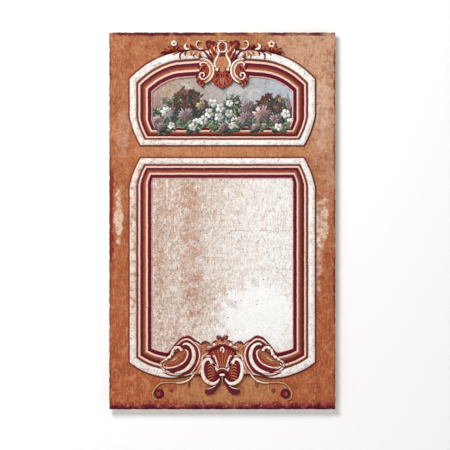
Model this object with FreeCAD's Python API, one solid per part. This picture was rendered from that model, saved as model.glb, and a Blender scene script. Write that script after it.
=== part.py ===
import FreeCAD, Part
import math
import os

os.makedirs("parts", exist_ok=True)

V = FreeCAD.Vector

# A wall-hung trumeau mirror, in millimetres. X is to the right and Z is up from the foot of the
# board. Y = 0 is the wall, and the front faces -Y. "Proud" is a height in front of the face board.

# Face board
BOARD_WIDTH = 914.4
BOARD_HEIGHT = 1524.0
BOARD_THICKNESS = 18.0
HEWN_DEPTH = 3.5
HEWN_PITCH = 34.0

# Back frame
BATTEN_DEPTH = 22.0
BATTEN_WIDTH = 45.0
BATTEN_INSET = 14.0
CROSS_RAIL_WIDTH = 70.0
HOOK_SPACE = 8.0
HOUSING_DEPTH = 10.0

# Cartouches: where the mouldings stand on the face board
SIDE_MARGIN = 82.2
CROWN_MARGIN = 73.0
FOOT_MARGIN = 127.5
BETWEEN_CARTOUCHES = 49.5
UPPER_HEIGHT = 385.0
SHOULDER_WIDTH = 45.8
SHOULDER_HEIGHT = 121.0
SHOULDER_BULGE = 6.0
SPRING_DROP = 117.0
CROWN_FLAT = 190.0
FOOT_SPRING = 64.0

# Moulding: width of each member across the side band, then how proud each one stands
BAND_WIDTH = 29.0
QUIRK_WIDTH = 8.0
FILLET_WIDTH = 8.0
COVE_WIDTH = 24.0
RIM_WIDTH = 6.0
BEAD_WIDTH = 18.5
BAND_EDGE = 7.0
BAND_CROWN = 14.0
QUIRK_PROUD = 6.5
FILLET_PROUD = 9.5
COVE_PROUD = 4.5
RIM_PROUD = 13.5
BEAD_PROUD = 10.5
SIGHT_EDGE = 5.0

# How much wider or narrower the whole moulding is where it is not a side
SILL_REDUCTION = 17.5
HEAD_REDUCTION = 8.5
ARCH_GROWTH = 10.5
FOOT_GROWTH = 14.0

# Glass, painting and what is behind them
REBATE = 9.0
PLATE_GAP = 1.5
GLASS_THICKNESS = 5.0
LINER_THICKNESS = 1.0
PANEL_THICKNESS = 6.0

# Turn buttons and screws
BUTTON_LENGTH = 38.0
BUTTON_WIDTH = 12.0
BUTTON_THICKNESS = 1.5
BUTTON_EDGE = 11.0
BUTTON_GAP = 0.3
SCREW_RADIUS = 2.0
SCREW_CLEARANCE = 0.2
PAN_HEAD_RADIUS = 4.2
PAN_HEAD_HEIGHT = 2.4
BUTTON_SCREW_LENGTH = 13.0
FRAME_SCREW_RADIUS = 2.2
FRAME_HEAD_RADIUS = 4.4
FRAME_SCREW_BITE = 14.0
FRAME_SCREW_PITCH = 260.0
HEAD_SINK = 0.5

# Hangers
HANGER_SPACING = 406.4
HANGER_DROP = 95.0
STRAP_WIDTH = 16.0
STRAP_LENGTH = 60.0
STRAP_THICKNESS = 1.5
RING_WIRE_RADIUS = 1.5
RING_PLAY = 0.3
RING_WIDTH = 26.0
RING_DROP = 25.0
RING_CORNER = 3.5
HANGER_SCREW_LENGTH = 13.0
HANGER_SCREW_FIRST = 34.0
HANGER_SCREW_PITCH = 16.0

# Carving
CARVING_PROUD = 22.0
LEAF_PROUD = 18.0
URN_PROUD = 24.0
LEAST_SIDE = 2.0

# Planes and places that follow
BOARD_BACK = -BATTEN_DEPTH
FACE = BOARD_BACK - BOARD_THICKNESS
HALF_BOARD = BOARD_WIDTH / 2
HALF_CARTOUCHE = HALF_BOARD - SIDE_MARGIN
CROWN = BOARD_HEIGHT - CROWN_MARGIN
UPPER_FOOT = CROWN - UPPER_HEIGHT
LOWER_HEAD = UPPER_FOOT - BETWEEN_CARTOUCHES
SIDE_WIDTH = BAND_WIDTH + QUIRK_WIDTH + FILLET_WIDTH + COVE_WIDTH + RIM_WIDTH + BEAD_WIDTH
SILL_WIDTH = SIDE_WIDTH - SILL_REDUCTION
HEAD_WIDTH = SIDE_WIDTH - HEAD_REDUCTION
ARCH_WIDTH = SIDE_WIDTH + ARCH_GROWTH
FOOT_WIDTH = SIDE_WIDTH + FOOT_GROWTH
HALF_SIGHT = HALF_CARTOUCHE - SIDE_WIDTH
SIGHT_SILL = UPPER_FOOT + SILL_WIDTH
SIGHT_CROWN = CROWN - ARCH_WIDTH
SIGHT_HEAD = LOWER_HEAD - HEAD_WIDTH
SIGHT_FOOT = FOOT_MARGIN + FOOT_WIDTH
HALF_OPENING = HALF_SIGHT + REBATE
MIRROR_OPENING = (SIGHT_FOOT - REBATE, SIGHT_HEAD + REBATE)
PANEL_OPENING = (SIGHT_SILL - REBATE, SIGHT_CROWN + REBATE)

made = {}


def at(x, z, proud=0.0):
    """A point in front of the face board."""
    return V(x, FACE - proud, z)


def block(x0, x1, y0, y1, z0, z1):
    return Part.makeBox(x1 - x0, y1 - y0, z1 - z0, V(x0, y0, z0))


def mirrored(shape):
    return shape.mirror(V(0, 0, 0), V(1, 0, 0))


def fused(shapes):
    whole = shapes[0]
    for shape in shapes[1:]:
        whole = whole.fuse(shape)
    return whole.removeSplitter()


def seated(piece, carriers):
    """The piece, hollowed at its back to sit on what it is fixed over, without stray chips."""
    for carrier in carriers:
        if piece.BoundBox.intersect(carrier.BoundBox):
            piece = piece.cut(carrier)
    return max(piece.Solids, key=lambda solid: solid.Volume)


def keep(name, shape):
    made[name] = shape
    shape.exportStep("parts/" + name + ".step")


def keep_pair(name, right):
    keep(name + "_right", right)
    keep(name + "_left", mirrored(right))


# ---- Face board -------------------------------------------------------------------------------

def hewn_depth(along, seed):
    """How far the adze took the edge in, at a distance along it."""
    wave = math.sin(along / 23.0 + seed) + math.sin(along / 61.0 + 2.3 * seed) + math.sin(along / 9.7)
    return HEWN_DEPTH * (3.0 + wave) / 6.0


def hewn_edge(start, end, inward, seed):
    """Points of one edge from one corner to the next, cut back by the adze between them."""
    length = (end - start).Length
    count = round(length / HEWN_PITCH)
    points = [start]
    for i in range(1, count):
        share = (i + 0.3 * math.sin(5.0 * i + seed)) / count
        points.append(start + (end - start) * share + inward * hewn_depth(share * length, seed))
    return points


def face_board():
    corners = [V(-HALF_BOARD, FACE, 0), V(HALF_BOARD, FACE, 0),
               V(HALF_BOARD, FACE, BOARD_HEIGHT), V(-HALF_BOARD, FACE, BOARD_HEIGHT)]
    inward = [V(0, 0, 1), V(-1, 0, 0), V(0, 0, -1), V(1, 0, 0)]
    outline = []
    for i in range(4):
        outline += hewn_edge(corners[i], corners[(i + 1) % 4], inward[i], i)
    board = Part.Face(Part.makePolygon(outline + outline[:1])).extrude(V(0, BOARD_THICKNESS, 0))
    for low, high in (MIRROR_OPENING, PANEL_OPENING):
        board = board.cut(block(-HALF_OPENING, HALF_OPENING, FACE - 1, BOARD_BACK + 1, low, high))
    return board


# ---- Back frame -------------------------------------------------------------------------------

OUTER_X = HALF_BOARD - BATTEN_INSET
INNER_X = OUTER_X - BATTEN_WIDTH
HANGER_X = HANGER_SPACING / 2
FRAME_TOP = BOARD_HEIGHT - BATTEN_INSET
LAP = BOARD_BACK + BATTEN_DEPTH / 2
CROSS_BACK = -HOOK_SPACE
HANGER_HEIGHT = BOARD_HEIGHT - HANGER_DROP
HANGING_RAIL_LOW = HANGER_HEIGHT - STRAP_LENGTH + (STRAP_LENGTH - CROSS_RAIL_WIDTH) / 2
MIDDLE_RAIL_LOW = (UPPER_FOOT + LOWER_HEAD - CROSS_RAIL_WIDTH) / 2


def end_rail(low):
    """A top or bottom rail: the front half of each end is lapped away for the stile."""
    rail = block(-OUTER_X, OUTER_X, BOARD_BACK, 0, low, low + BATTEN_WIDTH)
    for x in (-OUTER_X, INNER_X):
        rail = rail.cut(block(x, x + BATTEN_WIDTH, BOARD_BACK, LAP, low, low + BATTEN_WIDTH))
    return rail


def cross_rail(low):
    reach = INNER_X + HOUSING_DEPTH
    return block(-reach, reach, BOARD_BACK, CROSS_BACK, low, low + CROSS_RAIL_WIDTH)


def right_stile():
    """The right stile: lapped behind by the end rails and housed for the cross rails."""
    stile = block(INNER_X, OUTER_X, BOARD_BACK, 0, 0, FRAME_TOP)
    for low in (0, FRAME_TOP - BATTEN_WIDTH):
        stile = stile.cut(block(INNER_X, OUTER_X, LAP, 0, low, low + BATTEN_WIDTH))
    for low in (HANGING_RAIL_LOW, MIDDLE_RAIL_LOW):
        stile = stile.cut(cross_rail(low))
    return stile


def spread(low, high, pitch):
    """Even places between two ends, no further apart than the pitch."""
    count = math.ceil((high - low) / pitch)
    return [low + (high - low) * i / count for i in range(count + 1)]


def countersunk_screw(x, z, back):
    """A wood screw driven forwards from a plane, through the batten and into the board."""
    head = Part.makeCone(FRAME_HEAD_RADIUS, FRAME_SCREW_RADIUS, FRAME_HEAD_RADIUS - FRAME_SCREW_RADIUS,
                         V(x, back - HEAD_SINK, z), V(0, -1, 0))
    length = back - HEAD_SINK - BOARD_BACK + FRAME_SCREW_BITE
    shank = Part.makeCylinder(FRAME_SCREW_RADIUS, length, V(x, back - HEAD_SINK, z), V(0, -1, 0))
    return fused([head, shank])


def sink_hole(x, z, back):
    """The countersunk hole above a sunk head."""
    return Part.makeCylinder(FRAME_HEAD_RADIUS, HEAD_SINK, V(x, back - HEAD_SINK, z), V(0, 1, 0))


def frame_screw_places():
    """(x, z, back plane) of every screw of the back frame, clear of the hangers."""
    half = BATTEN_WIDTH / 2
    along_rail = spread(-OUTER_X + half, OUTER_X - half, FRAME_SCREW_PITCH)
    between = spread(-1.5 * HANGER_X, 1.5 * HANGER_X, FRAME_SCREW_PITCH)
    places = [(x, z, 0) for x in along_rail for z in (half, FRAME_TOP - half)]
    places += [(x, low + CROSS_RAIL_WIDTH / 2, CROSS_BACK)
               for x in between for low in (MIDDLE_RAIL_LOW, HANGING_RAIL_LOW)]
    side = spread(half + BATTEN_WIDTH, FRAME_TOP - half - BATTEN_WIDTH, FRAME_SCREW_PITCH)
    places += [(x, z, 0) for x in (-OUTER_X + half, OUTER_X - half) for z in side]
    return places


# ---- Glass, painting and backing boards -------------------------------------------------------

def plate(opening, front, thickness):
    """A rectangular sheet that lies in a rebate with a gap all round."""
    low, high = opening
    half = HALF_OPENING - PLATE_GAP
    return block(-half, half, front, front + thickness, low + PLATE_GAP, high - PLATE_GAP)


# ---- Turn buttons -----------------------------------------------------------------------------

BUTTON_X = HALF_OPENING + BUTTON_EDGE
BUTTON_BACK = BOARD_BACK + BUTTON_GAP + BUTTON_THICKNESS


def button_heights():
    """Named heights of the turn buttons: four along the glass and two beside the painting."""
    low, high = MIRROR_OPENING
    return {"lower": low + (high - low) / 5, "middle": high - (high - low) / 5,
            "upper": sum(PANEL_OPENING) / 2}


def turn_button(z):
    """A flat steel button with round ends, pointing inwards over the backing board."""
    half = BUTTON_WIDTH / 2
    tip = BUTTON_LENGTH - BUTTON_WIDTH
    y = BOARD_BACK + BUTTON_GAP
    bar = block(BUTTON_X - tip, BUTTON_X, y, y + BUTTON_THICKNESS, z - half, z + half)
    ends = [Part.makeCylinder(half, BUTTON_THICKNESS, V(x, y, z), V(0, 1, 0)) for x in (BUTTON_X, BUTTON_X - tip)]
    hole = Part.makeCylinder(SCREW_RADIUS + SCREW_CLEARANCE, BUTTON_THICKNESS, V(BUTTON_X, y, z), V(0, 1, 0))
    return fused([bar] + ends).cut(hole)


def pan_head_screw(x, z, seat, length):
    """A pan-head screw driven forwards, its head on the plane of what it holds."""
    head = Part.makeCylinder(PAN_HEAD_RADIUS, PAN_HEAD_HEIGHT, V(x, seat, z), V(0, 1, 0))
    head = head.makeFillet(PAN_HEAD_HEIGHT / 3, [head.Edges[0]])
    shank = Part.makeCylinder(SCREW_RADIUS, length, V(x, seat, z), V(0, -1, 0))
    return fused([head, shank])


# ---- Hangers ----------------------------------------------------------------------------------

ROLL_INNER = RING_WIRE_RADIUS + RING_PLAY
ROLL_OUTER = ROLL_INNER + STRAP_THICKNESS
RING_Y = CROSS_BACK + ROLL_OUTER
STRAP_BACK = CROSS_BACK + STRAP_THICKNESS


def hanger_screw_heights():
    return [HANGER_HEIGHT - HANGER_SCREW_FIRST - HANGER_SCREW_PITCH * i for i in range(2)]


def hanger_strap():
    """A steel strap whose upper end is rolled round the bar of the ring."""
    left = HANGER_X - STRAP_WIDTH / 2
    right = HANGER_X + STRAP_WIDTH / 2
    flat = block(left, right, CROSS_BACK, STRAP_BACK, HANGER_HEIGHT - STRAP_LENGTH, HANGER_HEIGHT)
    roll = Part.makeCylinder(ROLL_OUTER, STRAP_WIDTH, V(left, RING_Y, HANGER_HEIGHT), V(1, 0, 0))
    strap = fused([flat, roll])
    bore = Part.makeCylinder(ROLL_INNER, STRAP_WIDTH, V(left, RING_Y, HANGER_HEIGHT), V(1, 0, 0))
    strap = strap.cut(bore)
    for z in hanger_screw_heights():
        strap = strap.cut(Part.makeCylinder(SCREW_RADIUS, STRAP_THICKNESS, V(HANGER_X, CROSS_BACK, z), V(0, 1, 0)))
    return strap


def hanger_ring():
    """A D-shaped wire ring that hangs from its straight bar."""
    half = RING_WIDTH / 2 - RING_WIRE_RADIUS
    foot = RING_DROP - RING_WIRE_RADIUS
    corner = RING_CORNER
    arc_middle = half / math.sqrt(2)
    corner_middle = corner * (1 - 1 / math.sqrt(2))

    def on_ring(x, drop):
        return V(HANGER_X + x, RING_Y, HANGER_HEIGHT - drop)

    turn = foot - half
    edges = [Part.LineSegment(on_ring(0, 0), on_ring(half - corner, 0)),
             Part.Arc(on_ring(half - corner, 0), on_ring(half - corner_middle, corner_middle), on_ring(half, corner)),
             Part.LineSegment(on_ring(half, corner), on_ring(half, turn)),
             Part.Arc(on_ring(half, turn), on_ring(arc_middle, turn + arc_middle), on_ring(0, foot))]
    path = Part.Wire([edge.toShape() for edge in edges])
    wire = Part.Wire([Part.Circle(on_ring(0, 0), V(1, 0, 0), RING_WIRE_RADIUS).toShape()])
    side = path.makePipeShell([wire], True, False)
    other = side.mirror(V(HANGER_X, 0, 0), V(1, 0, 0))
    return fused([side, other])


# ---- Mouldings --------------------------------------------------------------------------------

def profile():
    """(share of the width, height) of the moulding, from its outer edge to the sight edge."""
    cushion = [(BAND_WIDTH * (i / 4), BAND_EDGE + (BAND_CROWN - BAND_EDGE) * math.sin(math.pi * (i / 4)) ** 0.6)
               for i in range(5)]
    quirk_end = BAND_WIDTH + QUIRK_WIDTH
    fillet_end = quirk_end + FILLET_WIDTH
    cove_end = fillet_end + COVE_WIDTH
    rim_end = cove_end + RIM_WIDTH
    cove = [(fillet_end + COVE_WIDTH * i / 4, COVE_PROUD + (RIM_PROUD - COVE_PROUD) * (i / 4) ** 2)
            for i in range(5)]
    members = [(0.0, 0.0)] + cushion
    members += [(BAND_WIDTH, QUIRK_PROUD), (quirk_end, QUIRK_PROUD)]
    members += [(quirk_end, FILLET_PROUD), (fillet_end, FILLET_PROUD)]
    members += cove
    members += [(rim_end, RIM_PROUD), (rim_end, BEAD_PROUD + 1), (rim_end + BEAD_WIDTH * 0.75, BEAD_PROUD)]
    members += [(SIDE_WIDTH, SIGHT_EDGE), (SIDE_WIDTH, 0.0)]
    return [(width / SIDE_WIDTH, height) for width, height in members]


def line(start, end):
    return Part.LineSegment(at(*start), at(*end))


def bow(start, end, rise):
    """An arc between two points that rises to the left of the way from the first to the second."""
    middle = ((start[0] + end[0]) / 2, (start[1] + end[1]) / 2)
    run = (end[0] - start[0], end[1] - start[1])
    length = math.hypot(*run)
    via = (middle[0] - run[1] / length * rise, middle[1] + run[0] / length * rise)
    return Part.Arc(at(*start), at(*via), at(*end))


def along(curve, share):
    return curve.value(curve.FirstParameter + (curve.LastParameter - curve.FirstParameter) * share)


def section(outer, sight):
    """The moulding's profile, stood up between its outer edge and its sight edge."""
    return [outer + (sight - outer) * share + V(0, -height, 0) for share, height in profile()]


def straight_stick(outer, sight):
    """A straight length, mitred at both ends, with flat faces."""
    first = section(along(outer, 0), along(sight, 0))
    last = section(along(outer, 1), along(sight, 1))
    faces = [Part.Face(Part.makePolygon(ring + ring[:1])) for ring in (first, last)]
    for i in range(len(first)):
        j = (i + 1) % len(first)
        faces.append(Part.Face(Part.makePolygon([first[i], first[j], last[j], last[i], first[i]])))
    return Part.Solid(Part.Shell(faces))


def curved_stick(outer, sight, stations):
    """A curved length, through evenly turned sections."""
    rings = [section(along(outer, i / stations), along(sight, i / stations)) for i in range(stations + 1)]
    wires = [Part.makePolygon(ring + ring[:1]) for ring in rings]
    return Part.makeLoft(wires, True, False)


# Points of the right half of the upper cartouche: (outer, sight)
UPPER_SILL_MIDDLE = ((0, UPPER_FOOT), (0, SIGHT_SILL))
UPPER_SILL_CORNER = ((HALF_CARTOUCHE - SHOULDER_WIDTH, UPPER_FOOT), (HALF_SIGHT - 10, SIGHT_SILL))
UPPER_SIDE_FOOT = ((HALF_CARTOUCHE, UPPER_FOOT + SHOULDER_HEIGHT), (HALF_SIGHT, SIGHT_SILL + 23))
UPPER_SPRING = ((HALF_CARTOUCHE, CROWN - SPRING_DROP), (HALF_SIGHT, SIGHT_CROWN - 65))
UPPER_KNEE = ((CROWN_FLAT, CROWN - 9), (CROWN_FLAT - 15, SIGHT_CROWN - 10))
UPPER_CROWN = ((0, CROWN), (0, SIGHT_CROWN))

# Points of the right half of the lower cartouche: (outer, sight)
LOWER_HEAD_CORNER = ((HALF_CARTOUCHE - SHOULDER_WIDTH, LOWER_HEAD), (HALF_SIGHT - 4, SIGHT_HEAD))
LOWER_SIDE_HEAD = ((HALF_CARTOUCHE, LOWER_HEAD - SHOULDER_HEIGHT), (HALF_SIGHT, SIGHT_HEAD - 12))
LOWER_SIDE_FOOT = ((HALF_CARTOUCHE, FOOT_MARGIN + FOOT_SPRING), (HALF_SIGHT, SIGHT_FOOT + 16))
LOWER_FOOT_DIP = ((195, FOOT_MARGIN), (215, SIGHT_FOOT))
LOWER_FOOT_MIDDLE = ((0, FOOT_MARGIN + 24), (0, SIGHT_FOOT + 4))


def stick_between(start, end, outer_rise=0.0, sight_rise=0.0, stations=0):
    if not stations:
        return straight_stick(line(start[0], end[0]), line(start[1], end[1]))
    outer = bow(start[0], end[0], outer_rise)
    sight = bow(start[1], end[1], sight_rise) if sight_rise else line(start[1], end[1])
    return curved_stick(outer, sight, stations)


def mirrored_points(points):
    return tuple((-x, z) for x, z in points)


def mouldings():
    """Every length of the two cartouches."""
    keep("upper_sill_moulding", stick_between(mirrored_points(UPPER_SILL_CORNER), UPPER_SILL_CORNER))
    keep_pair("upper_corner_moulding",
              stick_between(UPPER_SILL_CORNER, UPPER_SIDE_FOOT, -SHOULDER_BULGE, 0, 4))
    keep_pair("upper_stile_moulding", stick_between(UPPER_SIDE_FOOT, UPPER_SPRING))
    shoulder = stick_between(UPPER_SPRING, UPPER_KNEE, -17, -9, 6)
    crown = stick_between(UPPER_KNEE, UPPER_CROWN, -2.5, -1.5, 4)
    keep_pair("arch_moulding", fused([shoulder, crown]))
    keep("lower_head_moulding", stick_between(LOWER_HEAD_CORNER, mirrored_points(LOWER_HEAD_CORNER)))
    keep_pair("lower_corner_moulding",
              stick_between(LOWER_HEAD_CORNER, LOWER_SIDE_HEAD, SHOULDER_BULGE, 0, 4))
    keep_pair("lower_stile_moulding", stick_between(LOWER_SIDE_HEAD, LOWER_SIDE_FOOT))
    outer_foot = stick_between(LOWER_SIDE_FOOT, LOWER_FOOT_DIP, 16, 3, 5)
    inner_foot = stick_between(LOWER_FOOT_DIP, LOWER_FOOT_MIDDLE, -4, -1, 4)
    keep_pair("foot_moulding", fused([outer_foot, inner_foot]))


# ---- Carving: strokes, eyes and flutes --------------------------------------------------------

def stroke_section(centre, across, width, proud):
    """A cut across a carved stroke: a flat back, short sides and a round top."""
    side = max(LEAST_SIDE, proud - width / 2)
    left = centre - across * (width / 2)
    right = centre + across * (width / 2)
    lift = V(0, -side, 0)
    top = centre + V(0, -proud, 0)
    edges = [Part.LineSegment(left, left + lift), Part.Arc(left + lift, top, right + lift),
             Part.LineSegment(right + lift, right), Part.LineSegment(right, left)]
    return Part.Wire([edge.toShape() for edge in edges])


def stroke(points, widths, proud=CARVING_PROUD):
    """A carved stroke through points (x, z), with its width at each point."""
    spine = Part.BSplineCurve()
    places = [at(x, z) for x, z in points]
    spine.interpolate(places)
    wires = []
    for place, width in zip(places, widths):
        tangent = spine.tangent(spine.parameter(place))[0]
        across = tangent.cross(V(0, 1, 0)).normalize()
        wires.append(stroke_section(place, across, width, proud))
    return Part.makeLoft(wires, True, False)


def eye(x, z, radius, proud=CARVING_PROUD):
    """A turned round boss with a small flat top, such as the eye of a scroll."""
    side = max(LEAST_SIDE, proud - radius * 0.7)
    outline = [at(x, z), at(x + radius, z), at(x + radius, z, side),
               at(x + radius * 0.7, z, side + (proud - side) * 0.72), at(x + radius * 0.25, z, proud), at(x, z, proud)]
    return Part.Face(Part.makePolygon(outline + outline[:1])).revolve(at(x, z), V(0, 1, 0), 360)


def fan(hub, rim, flutes, half_angle, middle_angle, width, proud):
    """Flutes that spread from a hub to a round rim, as on a scallop shell."""
    parts = []
    for i in range(flutes):
        angle = math.radians(middle_angle - half_angle + 2 * half_angle * i / (flutes - 1))
        reach = V(math.cos(angle), 0, math.sin(angle))
        start = at(*hub) + reach * (rim * 0.18)
        end = at(*hub) + reach * rim
        across = reach.cross(V(0, 1, 0))
        wires = [stroke_section(start, across, width * 0.35, proud * 0.8),
                 stroke_section(start + (end - start) * 0.7, across, width, proud),
                 stroke_section(end, across, width * 0.6, proud * 0.7)]
        parts.append(Part.makeLoft(wires, True, False))
    return parts


# ---- Carving at the crown ---------------------------------------------------------------------

def from_crown(points):
    """Places that are given from the middle of the crown."""
    return [(x, CROWN + z) for x, z in points]


def crown_scroll():
    """A C-scroll whose back is towards the middle, with an eye at each end."""
    path = from_crown([(80, -66), (67, -49), (46, -60), (34, -89), (46, -118), (66, -130), (81, -113)])
    return fused([stroke(path, [7, 11, 12, 13, 12, 11, 7]), eye(80, CROWN - 64, 7), eye(80, CROWN - 108, 7)])


def crown_shell():
    """A shell that hangs below the scrolls, fluted downwards."""
    hub = (0, CROWN - 92)
    return fused(fan(hub, 58, 5, 32, 270, 15, 17) + [eye(0, CROWN - 96, 14, 19)])


def urn():
    """A half-round urn that stands on the scrolls, with a ring on its top."""
    heights = [-84, -70, -52, -38, -28, -18, -8, 2, 12]
    widths = [16, 30, 52, 44, 20, 28, 18, 22, 12]
    body = stroke(from_crown([(0, z) for z in heights]), widths, URN_PROUD)
    return fused([body, eye(0, CROWN + 22, 16, LEAF_PROUD)])


def wing():
    """An acanthus wing that springs from the waist of the urn."""
    return fused([stroke(from_crown([(14, -20), (36, -10), (64, 4)]), [8, 18, 4], LEAF_PROUD),
                  stroke(from_crown([(18, -8), (32, 10), (50, 26)]), [8, 16, 4], LEAF_PROUD),
                  stroke(from_crown([(14, -30), (34, -34), (58, -22)]), [6, 14, 4], LEAF_PROUD)])


def spray():
    """A flowering stem that follows the crown of the moulding."""
    stem = stroke(from_crown([(58, -2), (92, 10), (142, 6), (190, 0), (232, -16)]), [6, 9, 8, 7, 4], 16)
    curls = [eye(92, CROWN + 22, 10, 14), eye(142, CROWN + 16, 9, 14), eye(114, CROWN + 6, 10, 16)]
    flower = [eye(198, CROWN + 14, 17, 15)]
    return fused([stem] + curls + flower)


# ---- Carving at the foot ----------------------------------------------------------------------

def from_foot(points):
    """Places that are given from the lowest edge of the lower cartouche."""
    return [(x, FOOT_MARGIN + z) for x, z in points]


def foot_shell():
    """The fan shell that rises from the hub over the foot of the glass."""
    hub = (0, FOOT_MARGIN + 24)
    return fused(fan(hub, 108, 7, 40, 90, 24, 20) + [eye(0, FOOT_MARGIN + 44, 18, 20)])


def foot_crest():
    """Two knobs on a low body, above the shell."""
    knobs = [eye(x, FOOT_MARGIN + 168, 12, 17) for x in (-16, 16)]
    body = stroke(from_foot([(-36, 146), (0, 154), (36, 146)]), [12, 26, 12], 15)
    beads = [eye(x, FOOT_MARGIN + 138, 8, 15) for x in (-34, 34)]
    return fused([body] + knobs + beads)


def foot_hub():
    """The cap and the collar that gather the flutes."""
    cap = stroke(from_foot([(-25, 22), (0, 27), (25, 22)]), [10, 18, 10], 24)
    return fused([cap, eye(0, FOOT_MARGIN + 13, 11, 20)])


def volute():
    """A round volute beside the shell."""
    path = from_foot([(47, 66), (63, 79), (81, 62), (82, 30), (64, -7), (38, -20), (16, -12)])
    eyes = [eye(47, FOOT_MARGIN + 62, 9, 20), eye(16, FOOT_MARGIN - 8, 6, 18)]
    return fused([stroke(path, [9, 13, 14, 14, 13, 12, 8], 20)] + eyes)


def tail():
    """A comma-shaped tail below the volute."""
    path = from_foot([(7, -14), (22, -36), (46, -55), (66, -54)])
    return fused([stroke(path, [5, 14, 20, 14], 14), eye(68, FOOT_MARGIN - 46, 9, 14)])


def great_scroll():
    """The large C-scroll that carries the acanthus on each side of the foot."""
    path = from_foot([(160, 124), (146, 138), (118, 126), (107, 97), (122, 54), (168, 28), (234, 34)])
    return fused([stroke(path, [8, 13, 15, 16, 16, 14, 6], 24), eye(160, FOOT_MARGIN + 120, 9, 24)])


def acanthus():
    """Leaves that climb out of the great scroll and curl over the glass and the moulding."""
    hook = stroke(from_foot([(170, 118), (208, 98), (234, 66), (218, 36)]), [10, 15, 14, 6], 20)
    inner = stroke(from_foot([(100, 60), (90, 100), (62, 134), (48, 144)]), [14, 22, 20, 8], LEAF_PROUD)
    upper = stroke(from_foot([(96, 120), (112, 150), (142, 160), (172, 144)]), [14, 22, 18, 8], LEAF_PROUD)
    web = stroke(from_foot([(126, 100), (150, 78), (196, 60)]), [40, 50, 20], 12)
    return [hook, inner, upper, web]


def tendril():
    """A thin tendril that ends in a curl round a ball."""
    path = from_foot([(92, -20), (152, -14), (236, -21), (275, -38), (284, -63), (270, -84)])
    stem = stroke(path, [8, 7, 8, 8, 8, 5], 11)
    return fused([stem, eye(130, FOOT_MARGIN - 20, 12, 12), eye(258, FOOT_MARGIN - 61, 23, 13)])


def carving():
    """Every carved piece, each seated on the mouldings and on the pieces it overlaps."""
    arch = [made["arch_moulding_right"], made["arch_moulding_left"]]
    foot = [made["foot_moulding_right"], made["foot_moulding_left"]]
    keep_pair("crown_scroll", seated(crown_scroll(), arch))
    scrolls = [made["crown_scroll_right"], made["crown_scroll_left"]]
    keep("urn", seated(urn(), arch + scrolls))
    keep("crown_shell", seated(crown_shell(), arch + scrolls + [made["urn"]]))
    keep_pair("wing", seated(wing(), arch + scrolls + [made["urn"]]))
    keep_pair("spray", seated(spray(), arch + [made["wing_right"]]))

    keep("foot_hub", seated(foot_hub(), foot))
    keep("foot_shell", seated(foot_shell(), foot + [made["foot_hub"]]))
    keep("foot_crest", seated(foot_crest(), foot + [made["foot_shell"]]))
    middle = foot + [made["foot_hub"], made["foot_shell"], made["foot_crest"]]
    keep_pair("volute", seated(volute(), middle))
    keep_pair("tail", seated(tail(), middle + [made["volute_right"], made["volute_left"]]))
    keep_pair("great_scroll", seated(great_scroll(), middle + [made["volute_right"]]))
    beside = middle + [made["volute_right"], made["great_scroll_right"]]
    keep_pair("acanthus", seated(fused(acanthus()), beside))
    keep_pair("tendril", seated(tendril(), foot + [made["tail_right"], made["volute_right"]]))


# ---- Assembly ---------------------------------------------------------------------------------

def back_and_board():
    """The face board, its back frame and the screws, with a hole for every screw."""
    frame_screws = [countersunk_screw(*place) for place in frame_screw_places()]
    sinks = [sink_hole(*place) for place in frame_screw_places()]
    button_screws = [pan_head_screw(side * BUTTON_X, z, BUTTON_BACK, BUTTON_SCREW_LENGTH)
                     for z in button_heights().values() for side in (-1, 1)]
    hanger_screws = [pan_head_screw(side * HANGER_X, z, STRAP_BACK, HANGER_SCREW_LENGTH)
                     for z in hanger_screw_heights() for side in (-1, 1)]
    driven = Part.makeCompound(frame_screws + sinks + button_screws + hanger_screws)
    stile = right_stile()
    keep("face_board", face_board().cut(driven))
    keep("back_bottom_rail", end_rail(0).cut(driven))
    keep("back_top_rail", end_rail(FRAME_TOP - BATTEN_WIDTH).cut(driven))
    keep("back_stile_right", stile.cut(driven))
    keep("back_stile_left", mirrored(stile).cut(driven))
    keep("hanging_rail", cross_rail(HANGING_RAIL_LOW).cut(driven))
    keep("middle_rail", cross_rail(MIDDLE_RAIL_LOW).cut(driven))
    keep("frame_screws", Part.makeCompound(frame_screws))
    keep("turn_button_screws", Part.makeCompound(button_screws))
    keep("hanger_screws", Part.makeCompound(hanger_screws))


def glass_and_painting():
    """The sheets in the two openings, each against the back of the moulding."""
    glass_back = FACE + GLASS_THICKNESS
    liner_back = glass_back + LINER_THICKNESS
    panel_back = FACE + PANEL_THICKNESS
    keep("mirror_plate", plate(MIRROR_OPENING, FACE, GLASS_THICKNESS))
    keep("mirror_liner", plate(MIRROR_OPENING, glass_back, LINER_THICKNESS))
    keep("mirror_backing", plate(MIRROR_OPENING, liner_back, BOARD_BACK - liner_back))
    keep("painted_panel", plate(PANEL_OPENING, FACE, PANEL_THICKNESS))
    keep("panel_backing", plate(PANEL_OPENING, panel_back, BOARD_BACK - panel_back))


def fittings():
    """The turn buttons and the hangers."""
    for name, z in button_heights().items():
        keep_pair("turn_button_" + name, turn_button(z))
    keep_pair("hanger_strap", hanger_strap())
    keep_pair("hanger_ring", hanger_ring())


back_and_board()
glass_and_painting()
fittings()
mouldings()
carving()
for name, shape in made.items():
    print(name, len(shape.Solids), round(shape.Volume), shape.isValid())
print(len(made), "nodes")
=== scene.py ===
import math

import bmesh
import bpy
import numpy as np
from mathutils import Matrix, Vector
from mathutils.geometry import tessellate_polygon


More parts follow.
